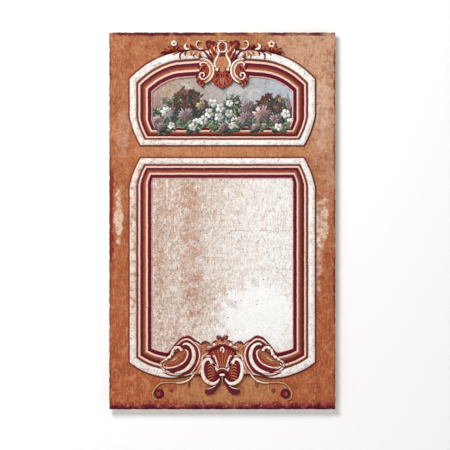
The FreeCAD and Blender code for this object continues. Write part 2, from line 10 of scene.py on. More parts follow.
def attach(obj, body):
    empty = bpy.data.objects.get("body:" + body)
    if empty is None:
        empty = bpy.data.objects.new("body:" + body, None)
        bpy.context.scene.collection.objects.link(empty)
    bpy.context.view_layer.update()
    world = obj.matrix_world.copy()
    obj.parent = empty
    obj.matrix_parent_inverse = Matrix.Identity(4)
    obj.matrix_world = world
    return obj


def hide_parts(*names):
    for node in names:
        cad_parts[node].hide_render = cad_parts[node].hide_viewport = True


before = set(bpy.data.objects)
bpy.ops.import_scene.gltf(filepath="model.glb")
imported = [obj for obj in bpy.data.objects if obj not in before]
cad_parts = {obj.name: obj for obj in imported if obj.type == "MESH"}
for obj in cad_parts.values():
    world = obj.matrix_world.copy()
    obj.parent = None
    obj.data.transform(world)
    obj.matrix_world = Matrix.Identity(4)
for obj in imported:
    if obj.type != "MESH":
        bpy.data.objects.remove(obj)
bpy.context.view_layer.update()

# ---- The wall it hangs on, the floor, the light and the camera ----------------------------------
# The mirror hangs flat on a white wall. The wall is white to the camera and lets the room's light
# through from behind, so that the back of the frame is lit when it is seen from there.


class Field:
    """A value or a colour that changes over a surface: wraps a socket, and sums work on it."""

    def __init__(self, paint, socket):
        self.paint = paint
        self.socket = socket

    def sum(self, operation, a, b):
        node = self.paint.node("ShaderNodeMath", {"operation": operation}, {0: a, 1: b})
        return Field(self.paint, node.outputs[0])

    def __add__(self, other):
        return self.sum("ADD", self, other)

    def __sub__(self, other):
        return self.sum("SUBTRACT", self, other)

    def __rsub__(self, other):
        return self.sum("SUBTRACT", other, self)

    def __mul__(self, other):
        return self.sum("MULTIPLY", self, other)

    def away_from(self, other):
        """How far the value is from another one."""
        return self.sum("ABSOLUTE", self - other, 0.0)

    __radd__ = __add__
    __rmul__ = __mul__


class Paint:
    """A new material, or the world's surroundings, put together node by node."""

    def __init__(self, name, world=None):
        self.material = world or bpy.data.materials.new(name)
        self.material.use_nodes = True
        self.tree = self.material.node_tree
        self.tree.nodes.clear()
        self.output = self.tree.nodes.new("ShaderNodeOutputWorld" if world else "ShaderNodeOutputMaterial")
        self.places = {}

    def node(self, kind, settings=None, values=None):
        """One node: its settings first, then the values or links of its sockets."""
        node = self.tree.nodes.new(kind)
        for key, value in (settings or {}).items():
            setattr(node, key, value)
        for key, value in (values or {}).items():
            if isinstance(value, Field):
                self.tree.links.new(value.socket, node.inputs[key])
            elif value is not None:
                node.inputs[key].default_value = value
        return node

    def place(self, kind="Object"):
        """Where a point is: in the object, or on its own UV map."""
        if kind not in self.places:
            node = self.node("ShaderNodeTexCoord")
            self.places[kind] = Field(self, node.outputs[kind])
        return self.places[kind]

    def axis(self, place, name):
        """One coordinate of a place."""
        node = self.node("ShaderNodeSeparateXYZ", {}, {0: place})
        return Field(self, node.outputs[name])

    def stretched(self, scale, place=None):
        """A place with each coordinate scaled by itself."""
        node = self.node("ShaderNodeVectorMath", {"operation": "MULTIPLY"},
                         {0: place or self.place(), 1: scale})
        return Field(self, node.outputs[0])

    def noise(self, scale, detail=3.0, place=None, roughness=0.5):
        node = self.node("ShaderNodeTexNoise", {}, {"Vector": place or self.place(), "Scale": scale,
                                                    "Detail": detail, "Roughness": roughness})
        return Field(self, node.outputs["Fac"])

    def cells(self, scale):
        """How far a point is from the heart of its cell."""
        node = self.node("ShaderNodeTexVoronoi", {}, {"Vector": self.place(), "Scale": scale})
        return Field(self, node.outputs["Distance"])

    def step(self, value, low, high):
        """0 below low, 1 above high and smooth between them."""
        node = self.node("ShaderNodeMapRange", {"interpolation_type": "SMOOTHSTEP"},
                         {"Value": value, "From Min": low, "From Max": high})
        return Field(self, node.outputs["Result"])

    def mix(self, share, first, second, blend="MIX"):
        """A colour between two colours, by a share from 0 to 1."""
        first, second = (colour if isinstance(colour, Field) else (*colour, 1.0)
                         for colour in (first, second))
        node = self.node("ShaderNodeMix", {"data_type": "RGBA", "blend_type": blend},
                         {0: share, 6: first, 7: second})
        return Field(self, node.outputs[2])

    def coats(self, tone, *coats):
        """A tone under further coats: each has its share, its colour as seen on a screen and any blend."""
        for share, colour, *blend in coats:
            tone = self.mix(share, tone, srgb(*colour), *blend)
        return tone

    def ramp(self, value, stops):
        """A colour that follows a value, from stop to stop."""
        node = self.node("ShaderNodeValToRGB", {}, {0: value})
        elements = node.color_ramp.elements
        while len(elements) < len(stops):
            elements.new(1.0)
        for element, (place, colour) in zip(elements, stops):
            element.position = place
            element.color = (*colour, 1.0)
        return Field(self, node.outputs[0])

    def attribute(self, name, output="Color"):
        node = self.node("ShaderNodeAttribute", {"attribute_name": name})
        return Field(self, node.outputs[output])

    def bump(self, height, distance, strength=1.0):
        node = self.node("ShaderNodeBump", {}, {"Height": height, "Distance": distance,
                                                "Strength": strength})
        return Field(self, node.outputs[0])

    def surface(self, **sockets):
        """The finished surface, with each named socket of the shader."""
        names = {key.replace("_", " "): value for key, value in sockets.items()}
        shader = self.node("ShaderNodeBsdfPrincipled", {}, names)
        self.tree.links.new(shader.outputs[0], self.output.inputs[0])
        return self.material


def srgb(red, green, blue):
    """A colour that is given as it is seen on a screen, from 0 to 255."""
    return tuple((c / 255 / 12.92) if c <= 10 else ((c / 255 + 0.055) / 1.055) ** 2.4
                 for c in (red, green, blue))


def mesh_object(name, verts, faces, smooth=False):
    """A mesh object at the origin."""
    mesh = bpy.data.meshes.new(name)
    mesh.from_pydata([tuple(v) for v in verts], [], [tuple(f) for f in faces])
    mesh.update()
    if smooth:
        mesh.polygons.foreach_set("use_smooth", [True] * len(mesh.polygons))
    piece = bpy.data.objects.new(name, mesh)
    bpy.context.scene.collection.objects.link(piece)
    return piece


def ring_faces(rings, count, turned=False):
    """The faces between rings of count points each, one ring after another."""
    faces = []
    for r in range(rings - 1):
        for i in range(count):
            j = (i + 1) % count
            a, b, c, d = r * count + i, r * count + j, (r + 1) * count + j, (r + 1) * count + i
            faces.append((a, d, c, b) if turned else (a, b, c, d))
    return faces


def unwrap(piece, uvs):
    """A UV map from one pair for each vertex."""
    corner = np.zeros(len(piece.data.loops), np.int32)
    piece.data.loops.foreach_get("vertex_index", corner)
    piece.data.uv_layers.new(name="UVMap").data.foreach_set("uv", np.array(uvs)[corner].ravel())


WALL_Y = 0.003
FLOOR_Z = -0.35
ROOM = 6.0
WHITE = (1.0, 1.0, 1.0, 1.0)
WALL_GLOW = 0.13
ROOM_LIGHT = 0.17

wall_paint = Paint("white_wall")
light_path = wall_paint.node("ShaderNodeLightPath")
from_front = wall_paint.node("ShaderNodeNewGeometry").outputs["Backfacing"]
seen = Field(wall_paint, light_path.outputs["Is Camera Ray"])
shown = seen * (1.0 - Field(wall_paint, from_front))
plaster = wall_paint.node("ShaderNodeBsdfDiffuse", {}, {"Color": (0.9, 0.9, 0.9, 1.0)})
glow = wall_paint.node("ShaderNodeEmission", {}, {"Color": WHITE, "Strength": WALL_GLOW})
lit = wall_paint.node("ShaderNodeAddShader")
clear = wall_paint.node("ShaderNodeBsdfTransparent")
wall_mix = wall_paint.node("ShaderNodeMixShader", {}, {0: shown})
for link_from, link_to in ((plaster, lit.inputs[0]), (glow, lit.inputs[1]), (clear, wall_mix.inputs[1]),
                           (lit, wall_mix.inputs[2]), (wall_mix, wall_paint.output.inputs[0])):
    wall_paint.tree.links.new(link_from.outputs[0], link_to)

wall = mesh_object("wall", [(-ROOM, WALL_Y, FLOOR_Z), (ROOM, WALL_Y, FLOOR_Z),
                            (ROOM, WALL_Y, ROOM), (-ROOM, WALL_Y, ROOM)], [(0, 1, 2, 3)])
wall.data.materials.append(wall_paint.material)
floor_paint = Paint("pale_floor")
floor = mesh_object("floor", [(-ROOM, -ROOM, FLOOR_Z), (ROOM, -ROOM, FLOOR_Z),
                              (ROOM, ROOM, FLOOR_Z), (-ROOM, ROOM, FLOOR_Z)], [(0, 1, 2, 3)])
floor.data.materials.append(floor_paint.surface(Base_Color=(0.8, 0.8, 0.79, 1.0), Roughness=0.7))

# The room is white where it is seen straight, in the glass or through something, and dim as a light
world = bpy.data.worlds.new("room")
bpy.context.scene.world = world
room = Paint("room", world)
rays = room.node("ShaderNodeLightPath").outputs
straight, in_glass, through = (Field(room, rays["Is " + kind + " Ray"])
                               for kind in ("Camera", "Glossy", "Transmission"))
white_share = straight.sum("MAXIMUM", straight, straight.sum("MAXIMUM", in_glass, through))
background = room.node("ShaderNodeBackground", {}, {
    "Color": WHITE, "Strength": white_share * (1.0 - ROOM_LIGHT) + ROOM_LIGHT})
room.tree.links.new(background.outputs[0], room.output.inputs[0])


def soft_box(name, place, size, power):
    """A soft square lamp that looks at the middle of the mirror."""
    data = bpy.data.lights.new(name, "AREA")
    data.shape = "RECTANGLE"
    data.size = data.size_y = size
    data.energy = power
    lamp = bpy.data.objects.new(name, data)
    lamp.location = place
    lamp.rotation_mode = "QUATERNION"
    lamp.rotation_quaternion = (MIDDLE - Vector(place)).to_track_quat("-Z", "Y")
    bpy.context.scene.collection.objects.link(lamp)


MIDDLE = Vector((0.0, 0.0, 0.76))
soft_box("window", (-1.6, -4.0, 3.3), 1.8, 216.0)
soft_box("room_behind", (2.4, 2.6, 2.9), 3.0, 84.0)

# The photo is square and 1.8143 m wide on the plane of the mouldings, 8 mm before the board's face
PHOTO_WIDTH = 1.8143
PHOTO_MIDDLE_X, PHOTO_MIDDLE_Z = 0.0109, 0.7455
LENS = 120.0
SENSOR = 36.0
FACE_Y = -0.040
MOULDING_RELIEF = 0.008
camera_data = bpy.data.cameras.new("camera")
camera_data.lens = LENS
camera_data.sensor_width = SENSOR
camera = bpy.data.objects.new("camera", camera_data)
camera.location = (PHOTO_MIDDLE_X, FACE_Y - MOULDING_RELIEF - PHOTO_WIDTH * LENS / SENSOR, PHOTO_MIDDLE_Z)
camera.rotation_euler = (math.pi / 2, 0.0, 0.0)
bpy.context.scene.collection.objects.link(camera)
bpy.context.scene.camera = camera
bpy.context.scene.view_settings.view_transform = "Standard"

# ---- Face board ---------------------------------------------------------------------------------
# One wide softwood board, 18 mm thick, with two openings. Its edges are hewn with an adze and its
# front is painted terracotta, rubbed back, pitted, and stained dark along the edges.

HALF_BOARD = 0.4572
BOARD_HEIGHT = 1.524
BOARD_BACK = -0.022
HALF_OPENING = 0.2905
OPENINGS = ((0.226, 0.9405), (1.133, 1.356))
HEWN_DEPTH = 0.0035
HEWN_STEP = 0.003
FACET_LENGTH, CHIP_LENGTH, ARRIS_LENGTH = 0.021, 0.0047, 0.009
CORNER_RUB = 0.0012
CORNER_REACH = 0.010
ARRIS_REACH = 0.012


def waves(t, seed):
    """A smooth uneven wave, about -1 to 1, with nothing random in it."""
    return (np.sin(t + 1.7 * seed) + np.sin(2.31 * t + 4.1 * seed) * 0.6
            + np.sin(5.13 * t + 2.9 * seed) * 0.35) / 1.95


def hewn_outline(depth_offset):
    """Points round the board, cut back by the adze, with corners rubbed off."""
    corners = np.array([(-HALF_BOARD, 0), (HALF_BOARD, 0), (HALF_BOARD, BOARD_HEIGHT),
                        (-HALF_BOARD, BOARD_HEIGHT)])
    inward = np.array([(0, 1), (-1, 0), (0, -1), (1, 0)])
    points = []
    for i in range(4):
        start, end = corners[i], corners[(i + 1) % 4]
        length = np.linalg.norm(end - start)
        count = int(length / HEWN_STEP)
        share = np.arange(count) / count
        t = share * length
        facets = np.abs(waves(t / FACET_LENGTH, i)) ** 1.5
        chips = np.clip(waves(t / CHIP_LENGTH, i + 5) - 0.55, 0, 1) * 1.2
        depth = HEWN_DEPTH * (0.10 + 0.62 * facets + 0.5 * chips)
        ends = np.minimum(1.0, np.minimum(share, 1 - share) * length / CORNER_REACH)
        rubbed = 1 + 0.5 * waves(t / ARRIS_LENGTH, i + 9)
        depth = depth * ends + CORNER_RUB * (1 - ends) + depth_offset * rubbed
        line = start + np.outer(share, end - start)
        points.append(line + np.outer(depth, inward[i]) + np.outer(
            (1 - np.minimum(1.0, share * length / ARRIS_REACH)) * depth_offset, inward[(i + 3) % 4]))
    return np.concatenate(points)


def face_board():
    """The board: a hewn outline at the back and the front, a worn arris, and a front with two openings."""
    rings = [(0.0006, BOARD_BACK), (0.0, BOARD_BACK - 0.0006), (0.0, FACE_Y + 0.0022),
             (0.0009, FACE_Y + 0.0007), (0.0026, FACE_Y)]
    loops = [np.column_stack((outline[:, 0], np.full(len(outline), y), outline[:, 1]))
             for outline, y in ((hewn_outline(offset), y) for offset, y in rings)]
    count = len(loops[0])
    verts = [tuple(p) for loop in loops for p in loop]
    faces = ring_faces(len(rings), count)
    holes = []
    for y in (FACE_Y, BOARD_BACK):
        for low, high in OPENINGS:
            holes.append(len(verts))
            verts += [(-HALF_OPENING, y, low), (HALF_OPENING, y, low), (HALF_OPENING, y, high),
                      (-HALF_OPENING, y, high)]
    for k in range(2):
        for i in range(4):
            j = (i + 1) % 4
            faces.append((holes[k] + i, holes[k + 2] + i, holes[k + 2] + j, holes[k] + j))
    for ring, first, turn in ((len(rings) - 1, 0, False), (0, 2, True)):
        index = [list(range(ring * count, (ring + 1) * count))]
        index += [list(range(h, h + 4)) for h in holes[first:first + 2]]
        flat = [i for loop in index for i in loop]
        for tri in tessellate_polygon([[Vector(verts[i]) for i in loop] for loop in index]):
            a, b, c = (flat[i] for i in tri)
            normal = (Vector(verts[b]) - Vector(verts[a])).cross(Vector(verts[c]) - Vector(verts[a]))
            if (normal.y > 0) != turn:
                a, c = c, a
            faces.append((a, b, c))
    return mesh_object("ground_board", verts, faces)


def patch(paint, x, z, wide, high, ragged=0.35):
    """1 inside a ragged oval patch about a place, 0 outside it."""
    place = paint.place()
    across = (paint.axis(place, "X") - x) * (1 / wide)
    up = (paint.axis(place, "Z") - z) * (1 / high)
    far = (across * across + up * up) + (paint.noise(38, 4) - 0.5) * (ragged * 4)
    return 1.0 - paint.step(far, 0.35, 1.15)


ground = Paint("terracotta_ground")
ground_x = ground.axis(ground.place(), "X")
ground_z = ground.axis(ground.place(), "Z")
cloud = ground.noise(7.0, 5, roughness=0.62)
blot = ground.noise(22.0, 5, roughness=0.65)
mottle = ground.noise(95.0, 5, roughness=0.7)
grain = ground.noise(1.0, 4, ground.stretched((230.0, 60.0, 34.0)), roughness=0.65)
height_share = ground.step(ground_z + (cloud - 0.5) * 0.9, 0.12, 1.30)
tone = ground.mix(height_share, srgb(174, 94, 58), srgb(172, 106, 68))
right_up = ground.step(ground_x + ground_z * 0.45 + (cloud - 0.5) * 0.5, 0.70, 1.05)
tone = ground.coats(
    tone,
    (right_up * 0.75, (212, 172, 142)),
    (patch(ground, 0.0, 0.085, 0.24, 0.10, 0.5) * 0.75, (184, 128, 84)),
    (patch(ground, 0.0, 1.46, 0.17, 0.07, 0.5) * 0.6, (192, 136, 92)),
    (ground.step(blot, 0.50, 0.62) * 0.46, (146, 70, 42)),
    (ground.step(blot, 0.47, 0.36) * 0.32, (208, 154, 110)))
rail_share = patch(ground, 0.0, 1.041, 0.42, 0.045, 0.3) * 0.5
tone = ground.coats(
    tone,
    (rail_share, (200, 142, 102)),
    (ground.step(mottle, 0.54, 0.68) * 0.40, (228, 176, 136)),
    (ground.step(mottle, 0.47, 0.34) * 0.60, (122, 54, 36)),
    (ground.step(grain, 0.56, 0.66) * 0.40, (212, 158, 118)),
    (ground.step(grain, 0.45, 0.35) * 0.45, (116, 62, 36)))
worn = patch(ground, -0.419, 0.775, 0.019, 0.105, 0.9) + patch(ground, 0.398, 0.76, 0.030, 0.11, 1.0)
worn = (worn + patch(ground, 0.40, 1.20, 0.035, 0.16, 0.7) * 0.4
        + patch(ground, -0.40, 1.12, 0.03, 0.09, 0.7) * 0.3)
worn = worn + patch(ground, 0.385, 0.58, 0.020, 0.10, 1.0) * 0.6
rubbed_spots = ground.step(ground.noise(48.0, 5, roughness=0.7), 0.40, 0.56)
tone = ground.mix(worn * (rubbed_spots * 0.58 + 0.20), tone, srgb(234, 210, 188))
specks = ground.step(ground.cells(85.0), 0.18, 0.06) * ground.step(ground.noise(21.0, 2), 0.50, 0.60)
tone = ground.mix(specks * 0.75, tone, srgb(84, 40, 34))
edge_wave = ground.noise(26.0, 5, roughness=0.7) - 0.5
pieces = ground.noise(5.0, 3)
foot_stain = ground.step(ground_z + edge_wave * 0.085, 0.038, 0.020)
foot_deep = ground.step(ground_z + edge_wave * 0.07, 0.021, 0.007)
side_gap = ground_x.away_from(0.0) + edge_wave * 0.030
side_stain = ground.step(side_gap, HALF_BOARD - 0.012, HALF_BOARD - 0.003) * ground.step(pieces, 0.46, 0.58)
left_fringe = ground.step(ground_x + edge_wave * 0.040, 0.022 - HALF_BOARD, 0.012 - HALF_BOARD) * patch(
    ground, -HALF_BOARD, 0.77, 0.06, 0.24)
top_stain = (ground.step(ground_z + edge_wave * 0.022, BOARD_HEIGHT - 0.017, BOARD_HEIGHT - 0.011)
             * ground.step(ground.noise(7.5, 4), 0.36, 0.50))
tone = ground.coats(
    tone,
    (foot_stain * ground.step(mottle, 0.62, 0.50) * 0.85, (124, 38, 46)),
    (foot_deep * 0.92, (78, 0, 40)),
    (side_stain * 0.8, (122, 38, 34)),
    (left_fringe * 0.9, (126, 26, 30)),
    (ground.step(side_gap, HALF_BOARD - 0.0055, HALF_BOARD - 0.0010) * 0.6, (92, 36, 30)),
    (top_stain * 0.95, (82, 16, 34)))
bare = ground.step(ground.axis(ground.place(), "Y") + edge_wave * 0.003, BOARD_BACK - 0.0026,
                   BOARD_BACK - 0.0010)
bare_wood = ground.mix(ground.step(grain, 0.36, 0.64), srgb(184, 138, 92), srgb(150, 104, 64))
tone = ground.mix(bare * 0.96, tone, ground.mix(ground.step(mottle, 0.58, 0.70) * 0.4, bare_wood,
                                                srgb(120, 76, 48)))
ground_relief = mottle * 0.5 + grain * 0.5 - specks * 0.9
ground_board = face_board()
ground_board.data.materials.append(ground.surface(
    Base_Color=tone, Roughness=ground.step(mottle, 0.3, 0.7) * 0.22 + 0.6, Specular_IOR_Level=0.1,
    Normal=ground.bump(ground_relief, 0.0012, 0.5)))
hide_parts("face_board")
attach(ground_board, "trumeau")

# ---- Mouldings of the two cartouches ------------------------------------------------------------
# Fourteen lengths of softwood moulding, mitred and glued to the face board round each opening. From
# the outside in: a cushion band, a quirk, a fillet, a cove, a rim and a bead. Each member has its
# own colour, brushed on by hand over the terracotta: cream, brown, pink, maroon to tan, pink, maroon.
# The maroon-to-tan ramp across the cove is painted shade, darkest in its hollow, and the dark line
# along the outer foot is painted in part as the shade where the moulding meets the board.

HALF_CARTOUCHE = 0.375
HALF_SIGHT = 0.2815
CROWN = 1.451
FOOT = 0.1275
UPPER_FOOT = 1.066
LOWER_HEAD = 1.0165
SIGHT_SILL = 1.142
SIGHT_CROWN = 1.347
SIGHT_HEAD = 0.9315
SIGHT_FOOT = 0.235
STATION = 0.004
# Depth, length and seed of each wave of the hand that ran the moulding
HAND_WAVES = ((0.00045, 0.024, 3), (0.0003, 0.0071, 4))
# Depth, length, seed and threshold of the rubbed places and of the chips on its outer edge
WEAR_WAVES = ((0.0011, 0.011, 7, 0.42), (0.003, 0.037, 2, 0.86))
WORN_SHARE = 0.05
FULL_HEIGHT = 0.006
WEAR_LOWERS = 120


def bow(start, end, rise, count):
    """Points of an arc that rises to the left of the way from the first point to the last."""
    start, end = np.array(start, float), np.array(end, float)
    run = end - start
    length = np.linalg.norm(run)
    left = np.array([-run[1], run[0]]) / length
    share = np.linspace(0, 1, count)
    if abs(rise) < 1e-6:
        return start + np.outer(share, run)
    radius = (length ** 2 / 4 + rise ** 2) / (2 * abs(rise))
    middle = (start + end) / 2 + left * (rise - math.copysign(radius, rise))
    half = math.asin(min(1.0, length / 2 / radius))
    turn = (1 - 2 * share) * half * math.copysign(1.0, rise)
    out = left * math.copysign(1.0, rise)
    side = run / length
    return middle + radius * (np.outer(np.cos(turn), out)
                              - np.outer(np.sin(turn), side) * math.copysign(1.0, rise))


def moulding_profile():
    """(share of the width, height) of the moulding, from the dark line outside it, partly painted shade at
    its foot, to its sight edge.
    """
    widths = {"band": 0.029, "quirk": 0.008, "fillet": 0.008, "cove": 0.024, "rim": 0.006, "bead": 0.0185}
    whole = sum(widths.values())
    points = [(-0.0054, 0.0), (-0.0054, 0.0004), (-0.0003, 0.0005), (0.0, 0.0045), (0.0004, 0.0062)]
    points += [(widths["band"] * t, 0.0066 + 0.0074 * math.sin(math.pi * t) ** 0.62)
               for t in np.linspace(0.04, 0.97, 13)]
    x = widths["band"]
    points += [(x, 0.0062), (x + 0.0014, 0.0058), (x + 0.0066, 0.0058), (x + 0.0078, 0.0063)]
    x += widths["quirk"]
    points += [(x + 0.0001, 0.0088), (x + 0.0012, 0.0099), (x + 0.004, 0.0101), (x + 0.0068, 0.0098),
               (x + 0.0079, 0.0088)]
    x += widths["fillet"]
    points += [(x, 0.0046)]
    points += [(x + widths["cove"] * t, 0.0042 + 0.0086 * t ** 2.1) for t in np.linspace(0.06, 1.0, 9)]
    x += widths["cove"]
    points += [(x + 0.0007, 0.0134), (x + 0.003, 0.0138), (x + 0.0054, 0.0133), (x + 0.006, 0.0118)]
    x += widths["rim"]
    points += [(x + widths["bead"] * t, 0.0107 + 0.0010 * math.sin(math.pi * t) - 0.0014 * t ** 3)
               for t in (0.02, 0.2, 0.4, 0.6, 0.8, 0.92)]
    points += [(x + widths["bead"] * 0.97, 0.0078), (whole, 0.0050), (whole, 0.0)]
    return np.array(points) / np.array([whole, 1.0])


def moulding(name, outer, sight, start, finer):
    """One length between its outer and its sight edge, beginning at start along the cartouche."""
    profile = moulding_profile()
    if finer:
        steps = np.linspace(0, len(profile) - 1, 3 * len(profile) - 2)
        profile = np.column_stack([np.interp(steps, np.arange(len(profile)), profile[:, k])
                                   for k in (0, 1)])
    centre = (outer + sight) / 2
    along = start + np.concatenate([[0], np.cumsum(np.linalg.norm(np.diff(centre, axis=0), axis=1))])
    across = sight - outer
    across /= np.linalg.norm(across, axis=1)[:, None]
    hand = sum(depth * waves(along / long, seed) for depth, long, seed in HAND_WAVES)
    worn = sum(depth * np.clip(waves(along / long, seed) - least, 0, 1)
               for depth, long, seed, least in WEAR_WAVES)
    verts, uvs = [], []
    for i in range(len(outer)):
        for share, height in profile:
            edge = min(1.0, max(0.0, 1 - share / WORN_SHARE))
            shift = hand[i] * min(1, height / FULL_HEIGHT) + worn[i] * edge
            place = outer[i] + (sight[i] - outer[i]) * share + across[i] * shift
            verts.append((place[0], FACE_Y - height * (1 - WEAR_LOWERS * worn[i] * edge), place[1]))
            uvs.append((along[i], share))
    rows, columns = len(outer), len(profile)
    faces = ring_faces(rows, columns, turned=True)
    faces += [tuple(range(columns)), tuple(reversed(range((rows - 1) * columns, rows * columns)))]
    way, inward = outer[-1] - outer[0], sight[0] - outer[0]
    if way[0] * inward[1] < way[1] * inward[0]:
        faces = [tuple(reversed(face)) for face in faces]
    piece = mesh_object(name, verts, faces, smooth=True)
    unwrap(piece, uvs)
    piece.data.set_sharp_from_angle(angle=math.radians(50))
    return piece, along[-1]


def band_paint(name, spilled=False):
    """The painted moulding: colours by the share of the width, drawn with an unsteady hand."""
    paint = Paint(name)
    uv = paint.place("UV")
    object_x = paint.axis(paint.place(), "X")
    share = paint.axis(uv, "Y")
    unsteady = (paint.noise(1.0, 3, paint.stretched((90.0, 6.0, 1.0), uv)) - 0.5) * 0.024
    ragged = (paint.noise(330.0, 2) - 0.5) * 0.014
    share = share + unsteady + ragged
    cream = srgb(252, 246, 240)
    brown = srgb(108, 54, 42)
    pink = srgb(246, 204, 186)
    maroon = srgb(80, 4, 28)
    # The first two stops are the dark outline, partly painted shade at the moulding's foot; the stops from
    # 0.484 to 0.728 are painted shade across the cove, maroon in its hollow to tan at its rim.
    stops = [(0.0, srgb(126, 58, 42)), (0.016, srgb(134, 68, 50)), (0.030, cream), (0.290, cream),
             (0.302, srgb(190, 146, 124)), (0.310, brown), (0.392, srgb(112, 60, 46)), (0.400, pink),
             (0.470, pink), (0.484, srgb(88, 14, 32)), (0.575, srgb(100, 24, 34)),
             (0.620, srgb(136, 58, 44)), (0.675, srgb(158, 84, 58)), (0.728, srgb(192, 138, 108)),
             (0.742, srgb(248, 212, 196)), (0.796, srgb(246, 204, 190)), (0.810, maroon),
             (0.860, srgb(94, 8, 34)), (0.948, srgb(80, 6, 28)), (0.960, srgb(222, 168, 158)),
             (1.0, srgb(244, 206, 196))]
    tone = paint.ramp(share, stops)
    mottle = paint.noise(120.0, 5, roughness=0.7)
    cloud = paint.noise(26.0, 4)
    in_band = paint.step(share, 0.30, 0.285) * paint.step(share, 0.02, 0.04)
    middle_height = paint.step(paint.axis(paint.place(), "Z").away_from(0.66), 0.55, 0.15)
    left = paint.step(object_x + (cloud - 0.5) * 0.5, 0.10, -0.35) * (middle_height * 0.75 + 0.25)
    tone = paint.coats(tone, (in_band * left * 0.95, (230, 204, 190)),
                       (in_band * paint.step(mottle, 0.50, 0.60) * 0.6, (166, 164, 158)),
                       (in_band * paint.step(paint.noise(52.0, 5, roughness=0.7), 0.51, 0.58)
                        * (left * 0.65 + 0.18), (176, 124, 100)),
                       (in_band * paint.step(cloud, 0.46, 0.36) * 0.4, (255, 254, 252)),
                       (paint.step(mottle, 0.42, 0.30) * 0.4, (120, 66, 54), "MULTIPLY"))
    chips = paint.step(paint.cells(70.0), 0.19, 0.09) * paint.step(paint.noise(18.0, 2), 0.46, 0.55)
    tone = paint.mix(chips * 0.85, tone, srgb(84, 46, 40))
    rubbed = paint.step(paint.noise(75.0, 5, roughness=0.75), 0.60, 0.70) * (1.0 - in_band)
    tone = paint.mix(rubbed * paint.step(share, 0.80, 0.76) * 0.35, tone, srgb(190, 122, 92))
    if spilled:
        tone = paint.mix(paint.attribute("spill", "Alpha"), tone, paint.attribute("spill"))
    relief = mottle * 0.6 - chips
    return paint.surface(Base_Color=tone, Roughness=paint.step(mottle, 0.3, 0.7) * 0.2 + 0.5,
                         Specular_IOR_Level=0.12, Normal=paint.bump(relief, 0.0008, 0.4))


moulding_paint = band_paint("painted_moulding")
spilled_paint = band_paint("painted_moulding_with_petals", True)
SPILLED = "upper_sill_moulding"
ACROSS_THE_MIDDLE = ("upper_sill_moulding", "lower_head_moulding")
SILL_CORNER = ((0.3292, UPPER_FOOT), (0.2715, SIGHT_SILL))
UPPER_SIDE_FOOT = ((HALF_CARTOUCHE, UPPER_FOOT + 0.121), (HALF_SIGHT, SIGHT_SILL + 0.023))
UPPER_SPRING = ((HALF_CARTOUCHE, CROWN - 0.117), (HALF_SIGHT, SIGHT_CROWN - 0.065))
UPPER_KNEE = ((0.190, CROWN - 0.009), (0.175, SIGHT_CROWN - 0.010))
UPPER_CROWN = ((0.0, CROWN), (0.0, SIGHT_CROWN))
HEAD_CORNER = ((0.3292, LOWER_HEAD), (0.2775, SIGHT_HEAD))
LOWER_SIDE_HEAD = ((HALF_CARTOUCHE, LOWER_HEAD - 0.121), (HALF_SIGHT, SIGHT_HEAD - 0.012))
LOWER_SIDE_FOOT = ((HALF_CARTOUCHE, FOOT + 0.064), (HALF_SIGHT, SIGHT_FOOT + 0.016))
FOOT_DIP = ((0.195, FOOT), (0.215, SIGHT_FOOT))
FOOT_MIDDLE = ((0.0, FOOT + 0.024), (0.0, SIGHT_FOOT + 0.004))
SILL_MIDDLE = ((0.0, UPPER_FOOT), (0.0, SIGHT_SILL))
HEAD_MIDDLE = ((0.0, LOWER_HEAD), (0.0, SIGHT_HEAD))

# Each length of the right half: its name, its runs (start, end, rise outside, rise at the sight)
UPPER_HALF = [("upper_sill_moulding", [(SILL_MIDDLE, SILL_CORNER, 0, 0)]),
              ("upper_corner_moulding", [(SILL_CORNER, UPPER_SIDE_FOOT, -0.006, 0)]),
              ("upper_stile_moulding", [(UPPER_SIDE_FOOT, UPPER_SPRING, 0, 0)]),
              ("arch_moulding", [(UPPER_SPRING, UPPER_KNEE, -0.017, -0.009),
                                 (UPPER_KNEE, UPPER_CROWN, -0.0025, -0.0015)])]
LOWER_HALF = [("lower_head_moulding", [(HEAD_MIDDLE, HEAD_CORNER, 0, 0)]),
              ("lower_corner_moulding", [(HEAD_CORNER, LOWER_SIDE_HEAD, 0.006, 0)]),
              ("lower_stile_moulding", [(LOWER_SIDE_HEAD, LOWER_SIDE_FOOT, 0, 0)]),
              ("foot_moulding", [(LOWER_SIDE_FOOT, FOOT_DIP, 0.016, 0.003),
                                 (FOOT_DIP, FOOT_MIDDLE, -0.004, -0.001)])]


def run_points(runs, station):
    """The outer and the sight points of a length, run by run."""
    sides = []
    for side in (0, 1):
        points = []
        for start, end, *rises in runs:
            span = max(math.dist(start[0], end[0]), math.dist(start[1], end[1]))
            step = bow(start[side], end[side], rises[side], max(3, round(span / station)))
            points.append(step if not points else step[1:])
        sides.append(np.concatenate(points))
    return sides


for half in (UPPER_HALF, LOWER_HALF):
    begins = 0.0
    for name, runs in half:
        outer, sight = run_points(runs, STATION / 3 if name == SPILLED else STATION)
        whole = name in ACROSS_THE_MIDDLE
        if whole:
            outer = np.concatenate([outer[:0:-1] * (-1, 1), outer])
            sight = np.concatenate([sight[:0:-1] * (-1, 1), sight])
        for side, sign in (("", 1),) if whole else (("_right", 1), ("_left", -1)):
            node = name + side
            offset = begins + (0.0 if sign > 0 else 9.0)
            piece, ends = moulding("painted_" + node, outer * (sign, 1), sight * (sign, 1), offset,
                                   name == SPILLED)
            piece.data.materials.append(spilled_paint if name == SPILLED else moulding_paint)
            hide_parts(node)
            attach(piece, "trumeau")
        begins = ends - offset + begins if not whole else (ends - begins) / 2
